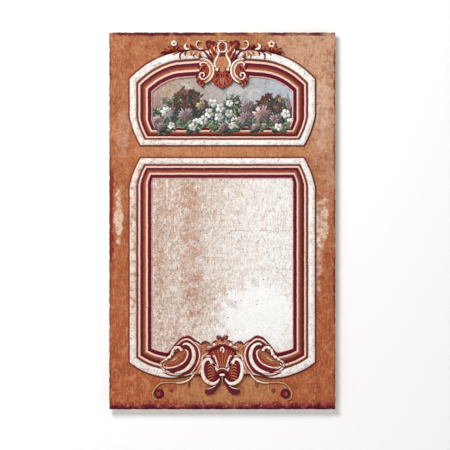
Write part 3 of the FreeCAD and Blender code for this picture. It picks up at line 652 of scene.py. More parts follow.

# ---- Carving: how it is cut and painted ---------------------------------------------------------
# Limewood carved in flat fields, rounded rolls, ribbed leaves and turned bosses, glued over the
# mouldings. Cream is brushed on the crowns as painted highlight, terracotta on the flanks, and dark
# red in the cuts and round the foot of each form as painted shade.


def carving_paint(name, stops, roughness):
    """A paint whose colour follows the share across a stroke, from one base to the other, mostly dark at
    the bases as painted shade and light over the crown as painted highlight.
    """
    paint = Paint(name)
    uv = paint.place("UV")
    share = paint.axis(uv, "Y")
    unsteady = (paint.noise(1.0, 3, paint.stretched((120.0, 5.0, 1.0), uv)) - 0.5) * 0.11
    share = share + unsteady + (paint.noise(420.0, 2) - 0.5) * 0.05
    tone = paint.ramp(share, stops)
    mottle = paint.noise(160.0, 4, roughness=0.7)
    left = paint.step(paint.axis(paint.place(), "X"), 0.02, -0.06)
    tone = paint.mix(left * 0.6, tone, paint.mix(0.5, tone, srgb(230, 190, 166), "MULTIPLY"))
    tone = paint.coats(
        tone,
        (paint.step(mottle, 0.46, 0.32) * 0.45, (160, 92, 70), "MULTIPLY"),
        (paint.step(mottle, 0.62, 0.74) * 0.25, (236, 186, 156)),
        (paint.step(paint.noise(70.0, 4), 0.50, 0.66) * 0.35, (150, 88, 76), "MULTIPLY"))
    specks = paint.step(paint.cells(120.0), 0.14, 0.05) * paint.step(paint.noise(24.0, 2), 0.52, 0.6)
    tone = paint.mix(specks * 0.7, tone, srgb(80, 30, 34))
    return paint.surface(Base_Color=tone, Roughness=paint.step(mottle, 0.3, 0.7) * 0.2 + roughness,
                         Specular_IOR_Level=0.16, Normal=paint.bump(mottle * 0.7 - specks, 0.0007, 0.4))


CREAM = srgb(255, 247, 236)
PINK = srgb(242, 190, 168)
TAN = srgb(182, 122, 80)
TERRACOTTA = srgb(170, 78, 52)
DARK_RED = srgb(104, 24, 32)
MAROON = srgb(92, 12, 36)
# Most ramps hold painted light and shade: dark red or maroon at the bases is painted shade where a form
# meets what it stands on, the cream, pink or pale stops over the crowns are painted highlights, and the
# dark middle of red_leaf is painted shade in its vein.
STROKE_COLOURS_WITH_PAINTED_SHADE = {
    "cream_roll": [(0.0, MAROON), (0.08, DARK_RED), (0.12, TERRACOTTA), (0.17, CREAM), (0.80, CREAM),
                   (0.86, PINK), (0.90, DARK_RED), (1.0, MAROON)],
    "cream_hair": [(0.0, DARK_RED), (0.10, TERRACOTTA), (0.19, PINK), (0.36, srgb(252, 234, 218)),
                   (0.68, srgb(252, 234, 218)), (0.82, PINK), (0.90, TERRACOTTA), (1.0, DARK_RED)],
    "red_leaf": [(0.0, MAROON), (0.12, DARK_RED), (0.20, PINK), (0.27, srgb(206, 104, 64)),
                 (0.45, TERRACOTTA), (0.50, MAROON), (0.55, srgb(146, 46, 38)), (0.78, TERRACOTTA),
                 (0.87, DARK_RED), (1.0, MAROON)],
    "tan_leaf": [(0.0, DARK_RED), (0.10, DARK_RED), (0.17, TERRACOTTA), (0.30, TAN),
                 (0.52, srgb(206, 154, 108)), (0.70, TAN), (0.83, TERRACOTTA), (0.91, DARK_RED),
                 (1.0, DARK_RED)],
    "maroon_comma": [(0.0, PINK), (0.08, PINK), (0.13, MAROON), (0.58, MAROON), (0.66, srgb(132, 34, 54)),
                     (0.78, MAROON), (0.89, MAROON), (0.93, PINK), (1.0, PINK)],
    "dark_line": [(0.0, srgb(140, 54, 44)), (0.14, MAROON), (0.50, srgb(118, 30, 36)), (0.86, MAROON),
                  (1.0, srgb(140, 54, 44))],
    "shell_flute": [(0.0, MAROON), (0.10, srgb(112, 26, 32)), (0.22, srgb(160, 62, 46)),
                    (0.40, srgb(186, 88, 64)), (0.50, srgb(218, 142, 116)), (0.58, srgb(182, 84, 60)),
                    (0.80, srgb(150, 54, 42)), (0.91, MAROON), (1.0, MAROON)],
    "orange_rib": [(0.0, MAROON), (0.20, srgb(146, 50, 36)), (0.34, srgb(232, 146, 96)),
                   (0.66, srgb(232, 146, 96)), (0.80, srgb(146, 50, 36)), (1.0, MAROON)],
    "tan_field": [(0.0, DARK_RED), (0.08, srgb(132, 58, 40)), (0.16, srgb(160, 92, 60)), (0.26, TAN),
                  (0.36, srgb(188, 130, 94)), (1.0, srgb(190, 132, 96))],
    "brown_field": [(0.0, MAROON), (0.10, srgb(104, 32, 34)), (0.20, srgb(134, 62, 44)),
                    (0.34, srgb(160, 98, 66)), (1.0, srgb(172, 112, 76))],
    "shell_red": [(0.0, MAROON), (0.12, srgb(120, 30, 34)), (0.24, srgb(168, 70, 50)),
                  (1.0, srgb(176, 78, 56))],
    "red_field": [(0.0, MAROON), (0.10, srgb(108, 28, 32)), (0.20, srgb(136, 50, 40)),
                  (0.34, srgb(158, 70, 50)), (1.0, srgb(164, 80, 54))],
    "pale_field": [(0.0, srgb(150, 86, 62)), (0.12, srgb(190, 140, 108)), (0.26, srgb(216, 184, 152)),
                   (1.0, srgb(226, 204, 178))],
    "tan_line": [(0.0, DARK_RED), (0.14, srgb(140, 66, 50)), (0.32, srgb(226, 172, 142)),
                 (0.68, srgb(226, 172, 142)), (0.86, srgb(140, 66, 50)), (1.0, DARK_RED)],
    "dark_flute": [(0.0, MAROON), (0.20, DARK_RED), (0.42, srgb(156, 58, 42)), (0.60, srgb(166, 66, 46)),
                   (0.82, DARK_RED), (1.0, MAROON)],
    "maroon_field": [(0.0, srgb(66, 10, 26)), (0.15, MAROON), (0.34, srgb(104, 20, 40)),
                     (1.0, srgb(118, 30, 44))],
}
SMOOTHER = {"maroon_comma": 0.42, "dark_line": 0.45}
PAINTS = {name: carving_paint(name, stops, SMOOTHER.get(name, 0.5))
          for name, stops in STROKE_COLOURS_WITH_PAINTED_SHADE.items()}
FORMS = {
    "round": lambda t: np.sqrt(np.clip(1 - np.abs(t) ** 2.3, 0, 1)),
    "leaf": lambda t: np.sqrt(np.clip(1 - np.abs(t) ** 2.6, 0, 1)) - 0.30 * np.exp(-(t / 0.12) ** 2),
}
SINK = 0.0004


def smooth_path(points, step=0.0016):
    """Points along a smooth curve through the given ones, and their share of the way."""
    points = np.array(points, float)
    chord = np.concatenate([[0], np.cumsum(np.sqrt(np.linalg.norm(np.diff(points, axis=0), axis=1)))])
    padded = np.vstack([2 * points[0] - points[1], points, 2 * points[-1] - points[-2]])
    knots = np.concatenate([[2 * chord[0] - chord[1]], chord, [2 * chord[-1] - chord[-2]]])
    places, given = [], []
    for i in range(1, len(points)):
        t0, t1, t2, t3 = knots[i - 1:i + 3]
        p0, p1, p2, p3 = padded[i - 1:i + 3]
        count = max(3, int(np.linalg.norm(p2 - p1) / step))
        for t in np.linspace(t1, t2, count, endpoint=i == len(points) - 1):
            a1 = (t1 - t) / (t1 - t0) * p0 + (t - t0) / (t1 - t0) * p1
            a2 = (t2 - t) / (t2 - t1) * p1 + (t - t1) / (t2 - t1) * p2
            a3 = (t3 - t) / (t3 - t2) * p2 + (t - t2) / (t3 - t2) * p3
            b1 = (t2 - t) / (t2 - t0) * a1 + (t - t0) / (t2 - t0) * a2
            b2 = (t3 - t) / (t3 - t1) * a2 + (t - t1) / (t3 - t1) * a3
            places.append((t2 - t) / (t2 - t1) * b1 + (t - t1) / (t2 - t1) * b2)
            given.append(i - 1 + (t - t1) / (t2 - t1))
    return np.array(places), np.array(given)


class Carving:
    """One carved piece: closed fields, strokes and bosses, each with its own paint, in one mesh."""

    def __init__(self):
        self.verts, self.faces, self.uvs, self.paints = [], [], [], []
        # 1 for the right side and -1 for the left; the loops over both end on the right
        self.side = 1

    def add(self, verts, faces, uvs, paint):
        """More of the mesh, in one paint."""
        first = len(self.verts)
        self.verts += verts
        self.uvs += uvs
        self.faces += [tuple(first + i for i in face) for face in faces]
        self.paints += [list(PAINTS).index(paint)] * len(faces)

    def field(self, outline, proud, paint, edge=2.6):
        """A flat field inside a closed outline of points (x, z) in millimetres, with a rounded edge."""
        ring, _ = smooth_path(np.array(outline + outline[:1]) / 1000, 0.0025)
        ring = ring[:-1]
        following = np.roll(ring, -1, axis=0)
        if np.sum(ring[:, 0] * following[:, 1] - following[:, 0] * ring[:, 1]) < 0:
            ring = ring[::-1]
        way = np.roll(ring, -1, axis=0) - np.roll(ring, 1, axis=0)
        inward = np.column_stack([-way[:, 1], way[:, 0]]) / np.linalg.norm(way, axis=1)[:, None]
        levels = ((0.0, -SINK * 1000, 0.0), (0.0, proud - 2.2, 0.03), (edge * 0.3, proud - 0.7, 0.12),
                  (edge, proud, 0.26), (edge * 1.3, proud, 0.34))
        verts, uvs = [], []
        count = len(ring)
        for inset, height, v in levels:
            places = ring + inward * inset / 1000
            verts += [(x, FACE_Y - height / 1000, z) for x, z in places]
            uvs += [((x + z) * 2, v) for x, z in places]
        faces = ring_faces(len(levels), count)
        for r in (0, len(levels) - 1):
            loop = [Vector((verts[r * count + i][0], verts[r * count + i][2], 0.0)) for i in range(count)]
            faces += [tuple(r * count + i for i in tri) for tri in tessellate_polygon([loop])]
        self.add(verts, faces, uvs, paint)

    def stroke(self, points, widths, proud=22.0, paint="cream_roll", form="round", lobes=0, columns=13):
        """A stroke through points (x, z) in millimetres, each with its width, on the side in hand."""
        points = [(self.side * x, z) for x, z in points]
        places, given = smooth_path(np.array(points) / 1000)
        width = np.interp(given, np.arange(len(widths)), np.array(widths) / 1000)
        along = np.concatenate([[0], np.cumsum(np.linalg.norm(np.diff(places, axis=0), axis=1))])
        if lobes:
            width = width * (1 - 0.32 * np.abs(np.sin(math.pi * lobes * along / along[-1])) ** 4)
        tangent = np.gradient(places, axis=0)
        tangent /= np.linalg.norm(tangent, axis=1)[:, None]
        side = np.column_stack([tangent[:, 1], -tangent[:, 0]])
        reach = np.minimum(along, along[-1] - along)
        cap = np.sqrt(np.clip(1 - (1 - np.minimum(1, reach / (width * 0.55 + 1e-6))) ** 2, 0.015, 1))
        low = max(2.0, proud - max(widths) * 0.5) / 1000
        t = np.linspace(-1, 1, columns)
        crown = FORMS[form](t)
        verts, uvs = [], []
        for i in range(len(places)):
            top = low * (0.75 + 0.25 * cap[i]) + (proud / 1000 - low) * crown * cap[i]
            row = [(-1.0, -SINK)] + list(zip(t, top)) + [(1.0, -SINK)]
            shares = [0.0] + list(0.05 + 0.90 * (t + 1) / 2) + [1.0]
            for (a, height), share in zip(row, shares):
                place = places[i] + side[i] * (a * width[i] * cap[i] / 2)
                verts.append((place[0], FACE_Y - height, place[1]))
                uvs.append((along[i] + points[0][0] / 90, share))
        across = columns + 2
        faces = ring_faces(len(places), across, turned=True)
        faces += [tuple(range(across)), tuple(reversed(range((len(places) - 1) * across,
                                                             len(places) * across)))]
        self.add(verts, faces, uvs, paint)

    def boss(self, x, z, radius, proud=22.0, paint="cream_roll", turns=24, dished=0.0, stretch=1.0):
        """A turned boss at a place on the side in hand, domed or dished, and stretched in height."""
        x *= self.side
        low = max(2.0, proud - radius * 0.6)
        rings = [(1.0, -SINK * 1000, 0.0), (1.0, low * 0.9, 0.06)]
        for share in (0.97, 0.88, 0.74, 0.56, 0.36, 0.16):
            dish = dished * max(0.0, 1 - share / 0.6)
            rings.append((share, low + (proud - low) * (math.sqrt(1 - share ** 2.2) - dish),
                          0.06 + 0.44 * (1 - share)))
        verts, uvs = [], []
        for share, height, v in rings:
            for k in range(turns):
                angle = 2 * math.pi * k / turns
                verts.append(((x + radius * share * math.cos(angle)) / 1000, FACE_Y - height / 1000,
                              (z + radius * stretch * share * math.sin(angle)) / 1000))
                uvs.append((angle * radius / 1000, v))
        faces = ring_faces(len(rings), turns)
        faces += [tuple(reversed(range(turns))), tuple((len(rings) - 1) * turns + k for k in range(turns))]
        self.add(verts, faces, uvs, paint)

    def finish(self, name, node, sign=1):
        """The piece, as it is on the right or mirrored to the left, in place of its CAD node."""
        verts = [(x * sign, y, z) for x, y, z in self.verts]
        piece = mesh_object(name, verts, self.faces, smooth=True)
        for paint in PAINTS.values():
            piece.data.materials.append(paint)
        piece.data.polygons.foreach_set("material_index", self.paints)
        unwrap(piece, self.uvs)
        edit = bmesh.new()
        edit.from_mesh(piece.data)
        bmesh.ops.recalc_face_normals(edit, faces=edit.faces)
        edit.to_mesh(piece.data)
        edit.free()
        piece.data.set_sharp_from_angle(angle=math.radians(60))
        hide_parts(node)
        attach(piece, "trumeau")

    def finish_pair(self, name):
        """The piece on the right and its mirror image on the left."""
        self.finish("carved_" + name + "_right", name + "_right", 1)
        self.finish("carved_" + name + "_left", name + "_left", -1)


def mirrored(half):
    """A closed outline from its right half, from the top middle to the bottom middle."""
    return half + [(-x, z) for x, z in reversed(half) if x > 0.01]


# ---- Carving at the crown -----------------------------------------------------------------------
# An urn with a ring on top stands between two C-scrolls, over a red shell that hangs into the
# painting. Acanthus wings rise from its waist, and a flowering spray runs out along each side.

scroll = Carving()
scroll.field([(56, 1392), (72, 1396), (90, 1401), (98, 1388), (93, 1370), (97, 1352), (105, 1334),
              (100, 1320), (88, 1308), (76, 1312), (62, 1326), (52, 1350), (52, 1372)], 15.5, "red_field")
for place, widths in (([(66, 1388), (74, 1378), (70, 1368)], [5, 10, 4]),
                      ([(80, 1374), (88, 1366), (90, 1356)], [5, 9, 4]),
                      ([(64, 1358), (70, 1350), (68, 1342)], [4, 8, 4]),
                      ([(90, 1394), (95, 1384), (92, 1374)], [4, 7, 4]),
                      ([(88, 1330), (96, 1324), (98, 1314)], [4, 8, 4]),
                      ([(78, 1326), (84, 1318), (82, 1310)], [4, 7, 3])):
    scroll.stroke(place, widths, 19.5, "dark_line", "leaf")
scroll.stroke([(90, 1409), (66, 1405), (50, 1391), (43, 1368), (46, 1346), (57, 1329), (76, 1319)],
              [8, 17, 21, 22, 21, 18, 8], 19.5, "tan_leaf", columns=17)
scroll.stroke([(90, 1414), (66, 1412), (46, 1398), (36, 1376), (37, 1353), (48, 1333), (68, 1317)],
              [4, 7, 8, 8, 8, 8, 4], 22.5, "cream_roll")
scroll.stroke([(84, 1385), (89, 1393), (80, 1400), (65, 1397), (53, 1383), (49, 1364), (55, 1346),
               (72, 1332)], [6, 7, 7, 6, 7, 7, 7, 4], 21.5, "cream_roll")
scroll.stroke([(64, 1388), (78, 1384), (86, 1372), (82, 1360)], [6, 15, 16, 7], 18, "red_leaf", "leaf", 3)
scroll.stroke([(60, 1376), (68, 1366), (66, 1354)], [5, 11, 6], 18, "red_leaf", "leaf", 2)
scroll.stroke([(86, 1340), (96, 1334), (104, 1322)], [12, 17, 7], 18, "red_leaf", "leaf", 3)
scroll.stroke([(84, 1334), (90, 1320), (84, 1305)], [12, 14, 6], 18, "red_leaf", "leaf", 3)
scroll.stroke([(94, 1356), (102, 1350), (105, 1340)], [6, 10, 5], 17.5, "dark_line")
scroll.stroke([(68, 1331), (82, 1333), (91, 1345), (86, 1357), (75, 1356), (73, 1347), (80, 1344)],
              [4, 7, 8, 8, 7, 6, 4], 22.5, "cream_roll")
scroll.boss(81, 1348, 4.4, 20.5, "maroon_field", turns=14)
scroll.boss(81, 1308, 6.5, 18, "tan_leaf")
scroll.stroke([(82, 1412), (88, 1422), (92, 1434)], [6, 14, 7], 18.5, "dark_line")
scroll.stroke([(76, 1424), (82, 1434), (92, 1438)], [4, 9, 5], 17.5, "cream_hair")
scroll.finish_pair("crown_scroll")

urn = Carving()
urn.field(mirrored([(0, 1441), (10, 1438), (17, 1426), (28, 1408), (32, 1396), (29, 1382), (20, 1374),
                    (10, 1364), (0, 1357)]), 20, "tan_field")
urn.boss(0, 1461, 17, 15, "tan_leaf", stretch=1.15)
urn.boss(0, 1462, 9, 17, "dark_flute", turns=16, stretch=1.2)
for urn.side in (-1, 1):
    urn.stroke([(15, 1436), (18, 1426), (25, 1413), (31, 1397), (29, 1385),
                (24, 1378)], [6, 8, 10, 11, 9, 5], 24, "cream_roll")
    urn.boss(22, 1371, 7, 22.5, "cream_roll")
    urn.stroke([(12, 1382), (13, 1369), (22, 1361), (31, 1366)], [3, 6, 6, 3], 21.5, "dark_line")
    urn.stroke([(1, 1482), (12, 1478), (17.5, 1462), (12, 1446), (5, 1439)],
               [4, 7, 7.5, 7, 5], 19, "cream_roll")
    urn.stroke([(3, 1484), (9, 1489), (14, 1485)], [3, 5, 3], 16, "cream_hair")
urn.field([(-11, 1441), (0, 1438), (11, 1441), (9, 1432), (12, 1423), (0, 1425), (-12, 1423), (-9, 1432)],
          24, "maroon_field")
urn.boss(0, 1487, 4, 17, "cream_hair", turns=12)
urn.stroke([(0, 1420), (0, 1400), (0, 1380)], [4, 10, 4], 21.5, "tan_leaf", "leaf")
urn.finish("carved_urn", "urn")

shell = Carving()
shell.field(mirrored([(0, 1368), (20, 1364), (35, 1354), (42, 1341), (40, 1326), (32, 1313), (24, 1309),
                      (16, 1302), (9, 1300), (0, 1295)]), 15.5, "shell_red")
for x, z, width in ((-33, 1330, 17), (33, 1330, 17), (-19, 1311, 17), (19, 1311, 17), (0, 1303, 13)):
    shell.stroke([(x * 0.2, 1358), (x * 0.62, 1343 - (1356 - z) * 0.22), (x, z)],
                 [4, width * 0.7, width * 0.8], 18, "shell_flute", "leaf")
shell.stroke([(-27, 1352), (-14, 1362), (0, 1366), (14, 1362), (27, 1352)], [5, 8, 9, 8, 5], 18,
             "shell_red")
for x, z in ((-38, 1338), (-29, 1317), (-11, 1305), (11, 1305), (29, 1317), (38, 1338)):
    shell.stroke([(x * 0.25, 1352), (x * 0.68, 1344 - (1356 - z) * 0.30), (x * 0.94, z)], [1.6, 2.6, 3.2],
                 19, "dark_line", columns=7)
for shell.side in (-1, 1):
    shell.stroke([(17, 1357), (21, 1347), (19, 1338)], [6, 11, 6], 19.5, "dark_line")
    # Thin cream lines down the middle of the shell, painted as highlights.
    shell.stroke([(5, 1340), (6, 1326), (4, 1312)], [1.5, 2.6, 1.5], 19.5, "cream_hair", columns=7)
shell.finish("carved_crown_shell", "crown_shell")

wing = Carving()
wing.field([(14, 1424), (24, 1446), (20, 1466), (26, 1483), (38, 1480), (46, 1488), (60, 1487), (65, 1474),
            (57, 1458), (54, 1438), (44, 1420), (30, 1408)], 15, "red_field")
wing.stroke([(28, 1414), (38, 1428), (46, 1440)], [5, 10, 5], 17.5, "tan_leaf", "leaf")
wing.stroke([(20, 1428), (32, 1442), (44, 1458), (58, 1480)], [8, 18, 20, 9], 18, "red_leaf", "leaf", 4)
wing.stroke([(24, 1452), (30, 1468), (26, 1481)], [7, 14, 8], 18, "red_leaf", "leaf", 3)
wing.stroke([(44, 1470), (52, 1485), (63, 1482), (60, 1470)], [8, 11, 11, 6], 18.5, "dark_line")
wing.stroke([(26, 1474), (36, 1482), (44, 1472)], [7, 11, 6], 18.5, "dark_line")
for place, widths in (([(50, 1456), (58, 1462), (64, 1472)], [4, 8, 4]),
                      ([(36, 1470), (41, 1478), (52, 1479)], [4, 8, 4]),
                      ([(24, 1462), (30, 1459), (34, 1468)], [3, 6, 3]),
                      ([(24, 1434), (33, 1436), (38, 1446)], [3, 7, 3]),
                      ([(40, 1424), (49, 1432), (52, 1442)], [3, 7, 3])):
    wing.stroke(place, widths, 19.5, "dark_line", columns=9)
# Cream strokes on the leaves, painted as highlights.
wing.stroke([(17, 1436), (22, 1447), (21, 1456)], [3, 7, 3], 19.5, "cream_hair")
wing.stroke([(29, 1446), (33, 1457), (32, 1466)], [3, 6, 3], 20, "cream_hair")
wing.stroke([(38, 1434), (47, 1444), (50, 1456)], [3, 7, 3], 20, "cream_hair")
wing.stroke([(34, 1397), (46, 1412), (60, 1430), (80, 1454)], [8, 10, 10, 6], 19, "dark_line")
wing.finish_pair("wing")


def spray(piece, sign):
    """The flowering stem of one side: the sides differ, a ring on the left and a flower on the right."""
    piece.field([(88, 1436), (94, 1447), (112, 1449), (136, 1447), (150, 1440), (140, 1428), (124, 1425),
                 (108, 1430), (98, 1421)], 14.8, "pale_field")
    piece.stroke([(60, 1430), (72, 1444), (96, 1450), (142, 1450), (190, 1447), (238, 1437)],
                 [4, 5, 5, 4, 4, 3], 16, "dark_line")
    piece.stroke([(86, 1484), (97, 1487), (105, 1475), (99, 1460), (84, 1451)], [3, 6, 7, 6, 4], 15,
                 "cream_hair")
    piece.stroke([(72, 1446), (84, 1457), (94, 1457)], [4, 7, 3], 16, "cream_hair")
    piece.stroke([(104, 1450), (116, 1459), (131, 1472)], [9, 14, 8], 16, "dark_line")
    piece.stroke([(131, 1453), (146, 1456), (151, 1466), (143, 1478)], [6, 12, 12, 5], 15, "cream_roll")
    for place, widths, paint in (
            ([(98, 1446), (106, 1438), (104, 1426)], [5, 12, 5], "tan_leaf"),
            ([(118, 1446), (126, 1438), (124, 1428)], [5, 11, 5], "red_leaf"),
            ([(84, 1444), (92, 1432), (88, 1420)], [7, 13, 6], "red_leaf"),
            ([(142, 1445), (150, 1437), (147, 1426)], [5, 9, 5], "dark_line"),
            ([(156, 1444), (168, 1436), (172, 1423), (168, 1414)], [5, 8, 8, 5], "dark_line"),
            ([(108, 1436), (116, 1428), (112, 1419)], [4, 7, 4], "dark_line"),
            ([(176, 1444), (190, 1438), (198, 1428)], [5, 9, 4], "tan_leaf")):
        piece.stroke(place, widths, 18, paint, "leaf", 2)
    for place, widths in (([(152, 1450), (164, 1456), (178, 1450)], [5, 12, 4]),
                          ([(196, 1448), (212, 1455), (228, 1448)], [6, 14, 5]),
                          ([(218, 1442), (234, 1448), (250, 1438)], [6, 12, 4])):
        piece.stroke(place, widths, 14, "red_leaf", "leaf", 2)
    for place, widths in (([(196, 1446), (206, 1460), (220, 1469)], [7, 15, 6]),
                          ([(210, 1444), (224, 1455), (238, 1460)], [6, 13, 5]),
                          ([(188, 1448), (186, 1460), (178, 1470)], [6, 12, 5]),
                          ([(166, 1449), (170, 1460), (164, 1470)], [5, 10, 4])):
        piece.stroke(place, widths, 15, "red_leaf", "leaf", 3)
    if sign < 0:
        piece.boss(195, 1478, 14.5, 15, "cream_roll", dished=0.9)
        piece.boss(195, 1478, 6, 11, "maroon_field", turns=14)
    else:
        for k in range(5):
            angle = math.radians(90 + 72 * k)
            piece.boss(198 + 9 * math.cos(angle), 1475 + 9 * math.sin(angle), 8.6, 14, "cream_hair",
                       turns=16)
        piece.boss(198, 1475, 5.5, 16.5, "maroon_field", turns=14)
    piece.stroke([(197, 1464), (190, 1453), (180, 1446)], [4, 5, 4], 14, "dark_line")


for side, sign in (("right", 1), ("left", -1)):
    flowering = Carving()
    spray(flowering, sign)
    flowering.finish("carved_spray_" + side, "spray_" + side, sign)

# ---- Carving at the foot ------------------------------------------------------------------------
# A fluted shell rises over the glass from a capped hub, with a crest above and a volute and a
# maroon tail each side. Great C-scrolls with acanthus curl over the moulding, and tendrils below.

hub = Carving()
hub.stroke([(-26, 141), (-18, 152), (0, 160), (18, 152), (26, 141)], [8, 14, 16, 14, 8], 24, "dark_line")
# A cream arc over the cap, painted as a highlight.
hub.stroke([(-25, 156), (-12, 166), (0, 169), (12, 166), (25, 156)], [3, 5, 5, 5, 3], 22.5, "cream_hair")
hub.stroke([(-12, 142), (0, 143), (12, 142)], [10, 12, 10], 24, "cream_roll")
hub.stroke([(0, 137), (0, 122), (0, 106)], [9, 7, 4], 17, "tan_leaf")
hub.finish("carved_foot_hub", "foot_hub")

shell = Carving()
shell.field(mirrored([(0, 262), (26, 254), (50, 241), (53, 228), (42, 210), (26, 180), (12, 162),
                      (0, 158)]), 16, "maroon_field")
for k in range(6):
    angle = math.radians(90 + (k - 2.5) * 13.0)
    way = [(r * 95 * math.cos(angle), 160 + r * 95 * math.sin(angle)) for r in (0.12, 0.5, 0.82, 0.95)]
    shell.stroke(way, [4, 11, 18, 12], 19, "dark_flute", columns=15)
for k in range(5):
    angle = math.radians(90 + (k - 2) * 13.0)
    way = [(r * 92 * math.cos(angle), 160 + r * 92 * math.sin(angle)) for r in (0.16, 0.5, 0.94)]
    shell.stroke(way, [2.5, 4, 5], 20.5, "orange_rib")
# Cream strokes down the side flutes and the drop at the top of the shell are painted highlights.
for shell.side in (-1, 1):
    shell.stroke([(39, 216), (32, 218), (23, 196), (14, 170)], [5, 8, 7, 3], 22, "cream_roll")
    shell.stroke([(27, 186), (20, 172)], [3, 4], 20, "cream_hair")
shell.stroke([(-5, 236), (-6, 247), (0, 253), (6, 247), (5, 236), (1, 231)], [4, 6, 6, 6, 6, 3], 22,
             "cream_roll")
rim_line = [(-55, 230), (-50, 241), (-26, 255), (0, 263), (26, 255), (50, 241), (55, 230)]
shell.stroke(rim_line, [4, 6, 7, 7, 7, 6, 4], 20.5, "dark_line")
shell.finish("carved_foot_shell", "foot_shell")

crest = Carving()
crest.field(mirrored([(0, 291), (9, 289), (17, 282), (28, 276), (40, 268), (53, 257), (46, 248), (26, 256),
                      (0, 265)]), 14, "tan_field")
# A cream line in the middle of the crest, painted as a highlight.
crest.stroke([(-14, 272), (0, 266), (14, 272)], [3, 4.5, 3], 17, "cream_hair")
for crest.side in (-1, 1):
    crest.stroke([(1, 276), (5, 288), (12, 297), (20, 294), (17, 286), (12, 288)],
                 [6, 8, 9, 9, 7, 5], 18, "dark_line")
    crest.stroke([(8, 296), (13, 300), (18, 298)], [2, 3, 2], 19.5, "cream_hair", columns=7)
    crest.boss(33, 264, 7, 17, "cream_roll", dished=0.4)
    crest.stroke([(20, 279), (30, 278), (40, 271)], [3, 4, 3], 15.5, "dark_line")
    crest.stroke([(42, 252), (52, 256), (62, 250)], [4, 8, 4], 17, "cream_hair")
crest.finish("carved_foot_crest", "foot_crest")

volute = Carving()
volute.field([(40, 196), (60, 196), (73, 176), (74, 146), (64, 124), (46, 113), (28, 116), (18, 132),
              (20, 150), (28, 168), (34, 184)], 14.5, "maroon_field")
volute.stroke([(28, 164), (34, 150), (30, 134)], [10, 18, 10], 16, "red_leaf", "leaf")
for k in range(6):
    z = 183 - 11.8 * k
    volute.stroke([(34, 150 + (z - 150) * 0.72 - 2), (46, z + 2.5), (60, z - 4)], [3, 5.5, 4], 17.5,
                  "orange_rib", columns=9)
volute.stroke([(43, 193), (50, 204), (62, 205), (74, 194), (80, 172), (79, 148), (70, 125), (54, 111),
               (34, 107), (19, 116), (11, 128)], [12, 15, 15, 15, 16, 17, 17, 17, 15, 11, 5], 21,
              "cream_roll", columns=17)
volute.boss(43, 194, 8.5, 21, "cream_roll")
volute.finish_pair("volute")

tail = Carving()
tail.stroke([(7, 136), (12, 112), (26, 91), (43, 75), (59, 72), (70, 81)], [7, 14, 21, 28, 27, 10], 15,
            "maroon_comma", columns=17)
# A thin pale line along the top of the tail, painted as a highlight.
tail.stroke([(26, 99), (44, 89), (63, 85)], [2.5, 4.5, 2.5], 17.2, "cream_hair")
tail.finish_pair("tail")

great = Carving()
great.field([(182, 262), (164, 280), (140, 288), (116, 275), (97, 252), (89, 221), (96, 192), (112, 164),
             (134, 146), (172, 140), (212, 146), (238, 160), (243, 184), (230, 210), (208, 230),
             (196, 250)], 15.5, "maroon_field")
great.field([(140, 240), (150, 250), (166, 240), (188, 242), (200, 224), (220, 208), (232, 194), (230, 178),
             (212, 168), (186, 172), (160, 188), (144, 212)], 17, "brown_field")
great.stroke([(152, 232), (151, 216), (166, 196), (196, 182), (226, 184)], [8, 18, 20, 17, 6], 18.5,
             "dark_flute")
# A maroon crescent under the acanthus roll is painted shadow; the tan and cream strokes below it are
# painted highlights.
great.stroke([(158, 236), (176, 236), (194, 224), (208, 208), (224, 200)], [4, 8, 10, 8, 3], 19,
             "maroon_field")
great.stroke([(160, 224), (178, 219), (194, 206), (214, 194)], [4, 9, 9, 3], 19.5, "tan_leaf")
great.stroke([(178, 214), (192, 204), (204, 198)], [2, 5, 2], 20.5, "cream_hair", columns=7)
great.stroke([(125, 149), (108, 172), (97, 194), (91, 221), (98, 251), (117, 273), (140, 286), (164, 279),
              (181, 264)], [4, 6, 7, 8, 8, 8, 9, 9, 5], 20, "cream_hair")
great.stroke([(160, 262), (147, 268), (131, 262), (119, 246), (114, 219), (121, 193), (137, 171),
              (161, 156), (192, 149)], [7, 11, 14, 17, 19, 19, 18, 14, 6], 24, "cream_roll", columns=19)
great.stroke([(150, 244), (140, 236), (142, 214), (156, 193), (184, 177), (216, 171), (230, 177)],
             [5, 8, 8, 8, 8, 7, 3], 21, "cream_hair")
great.stroke([(160, 148), (186, 143), (218, 150), (238, 162)], [4, 7, 7, 4], 18, "cream_hair")
great.finish_pair("great_scroll")

leaves = Carving()
leaves.field([(52, 258), (64, 267), (80, 268), (92, 262), (96, 250), (89, 222), (95, 194), (110, 166),
              (124, 150), (110, 143), (96, 148), (86, 168), (88, 192), (80, 206), (66, 214), (56, 226)], 14,
             "tan_field")
leaves.stroke([(163, 241), (171, 251), (184, 253), (197, 241), (206, 221), (222, 208), (239, 197)],
              [9, 13, 15, 17, 16, 14, 8], 22.5, "cream_roll", "round", 7, 17)
for place in ([(190, 250), (193, 240), (190, 232)], [(206, 228), (203, 220), (207, 213)],
              [(220, 212), (217, 206), (221, 201)]):
    leaves.stroke(place, [2, 4, 2], 24, "dark_flute", columns=7)
leaves.boss(165, 244, 7.5, 22.5, "cream_roll")
leaves.stroke([(238, 200), (247, 187), (242, 171), (226, 158), (208, 152)], [8, 11, 11, 9, 4], 21,
              "cream_hair", "leaf", 6)
leaves.stroke([(232, 192), (236, 182), (230, 172), (216, 166)], [4, 8, 8, 3], 19.5, "cream_hair", "leaf", 4)
for x, z in ((231, 202), (246, 190), (243, 176), (229, 162), (233, 181)):
    leaves.boss(x, z, 3, 22.5, "dark_line", turns=10)
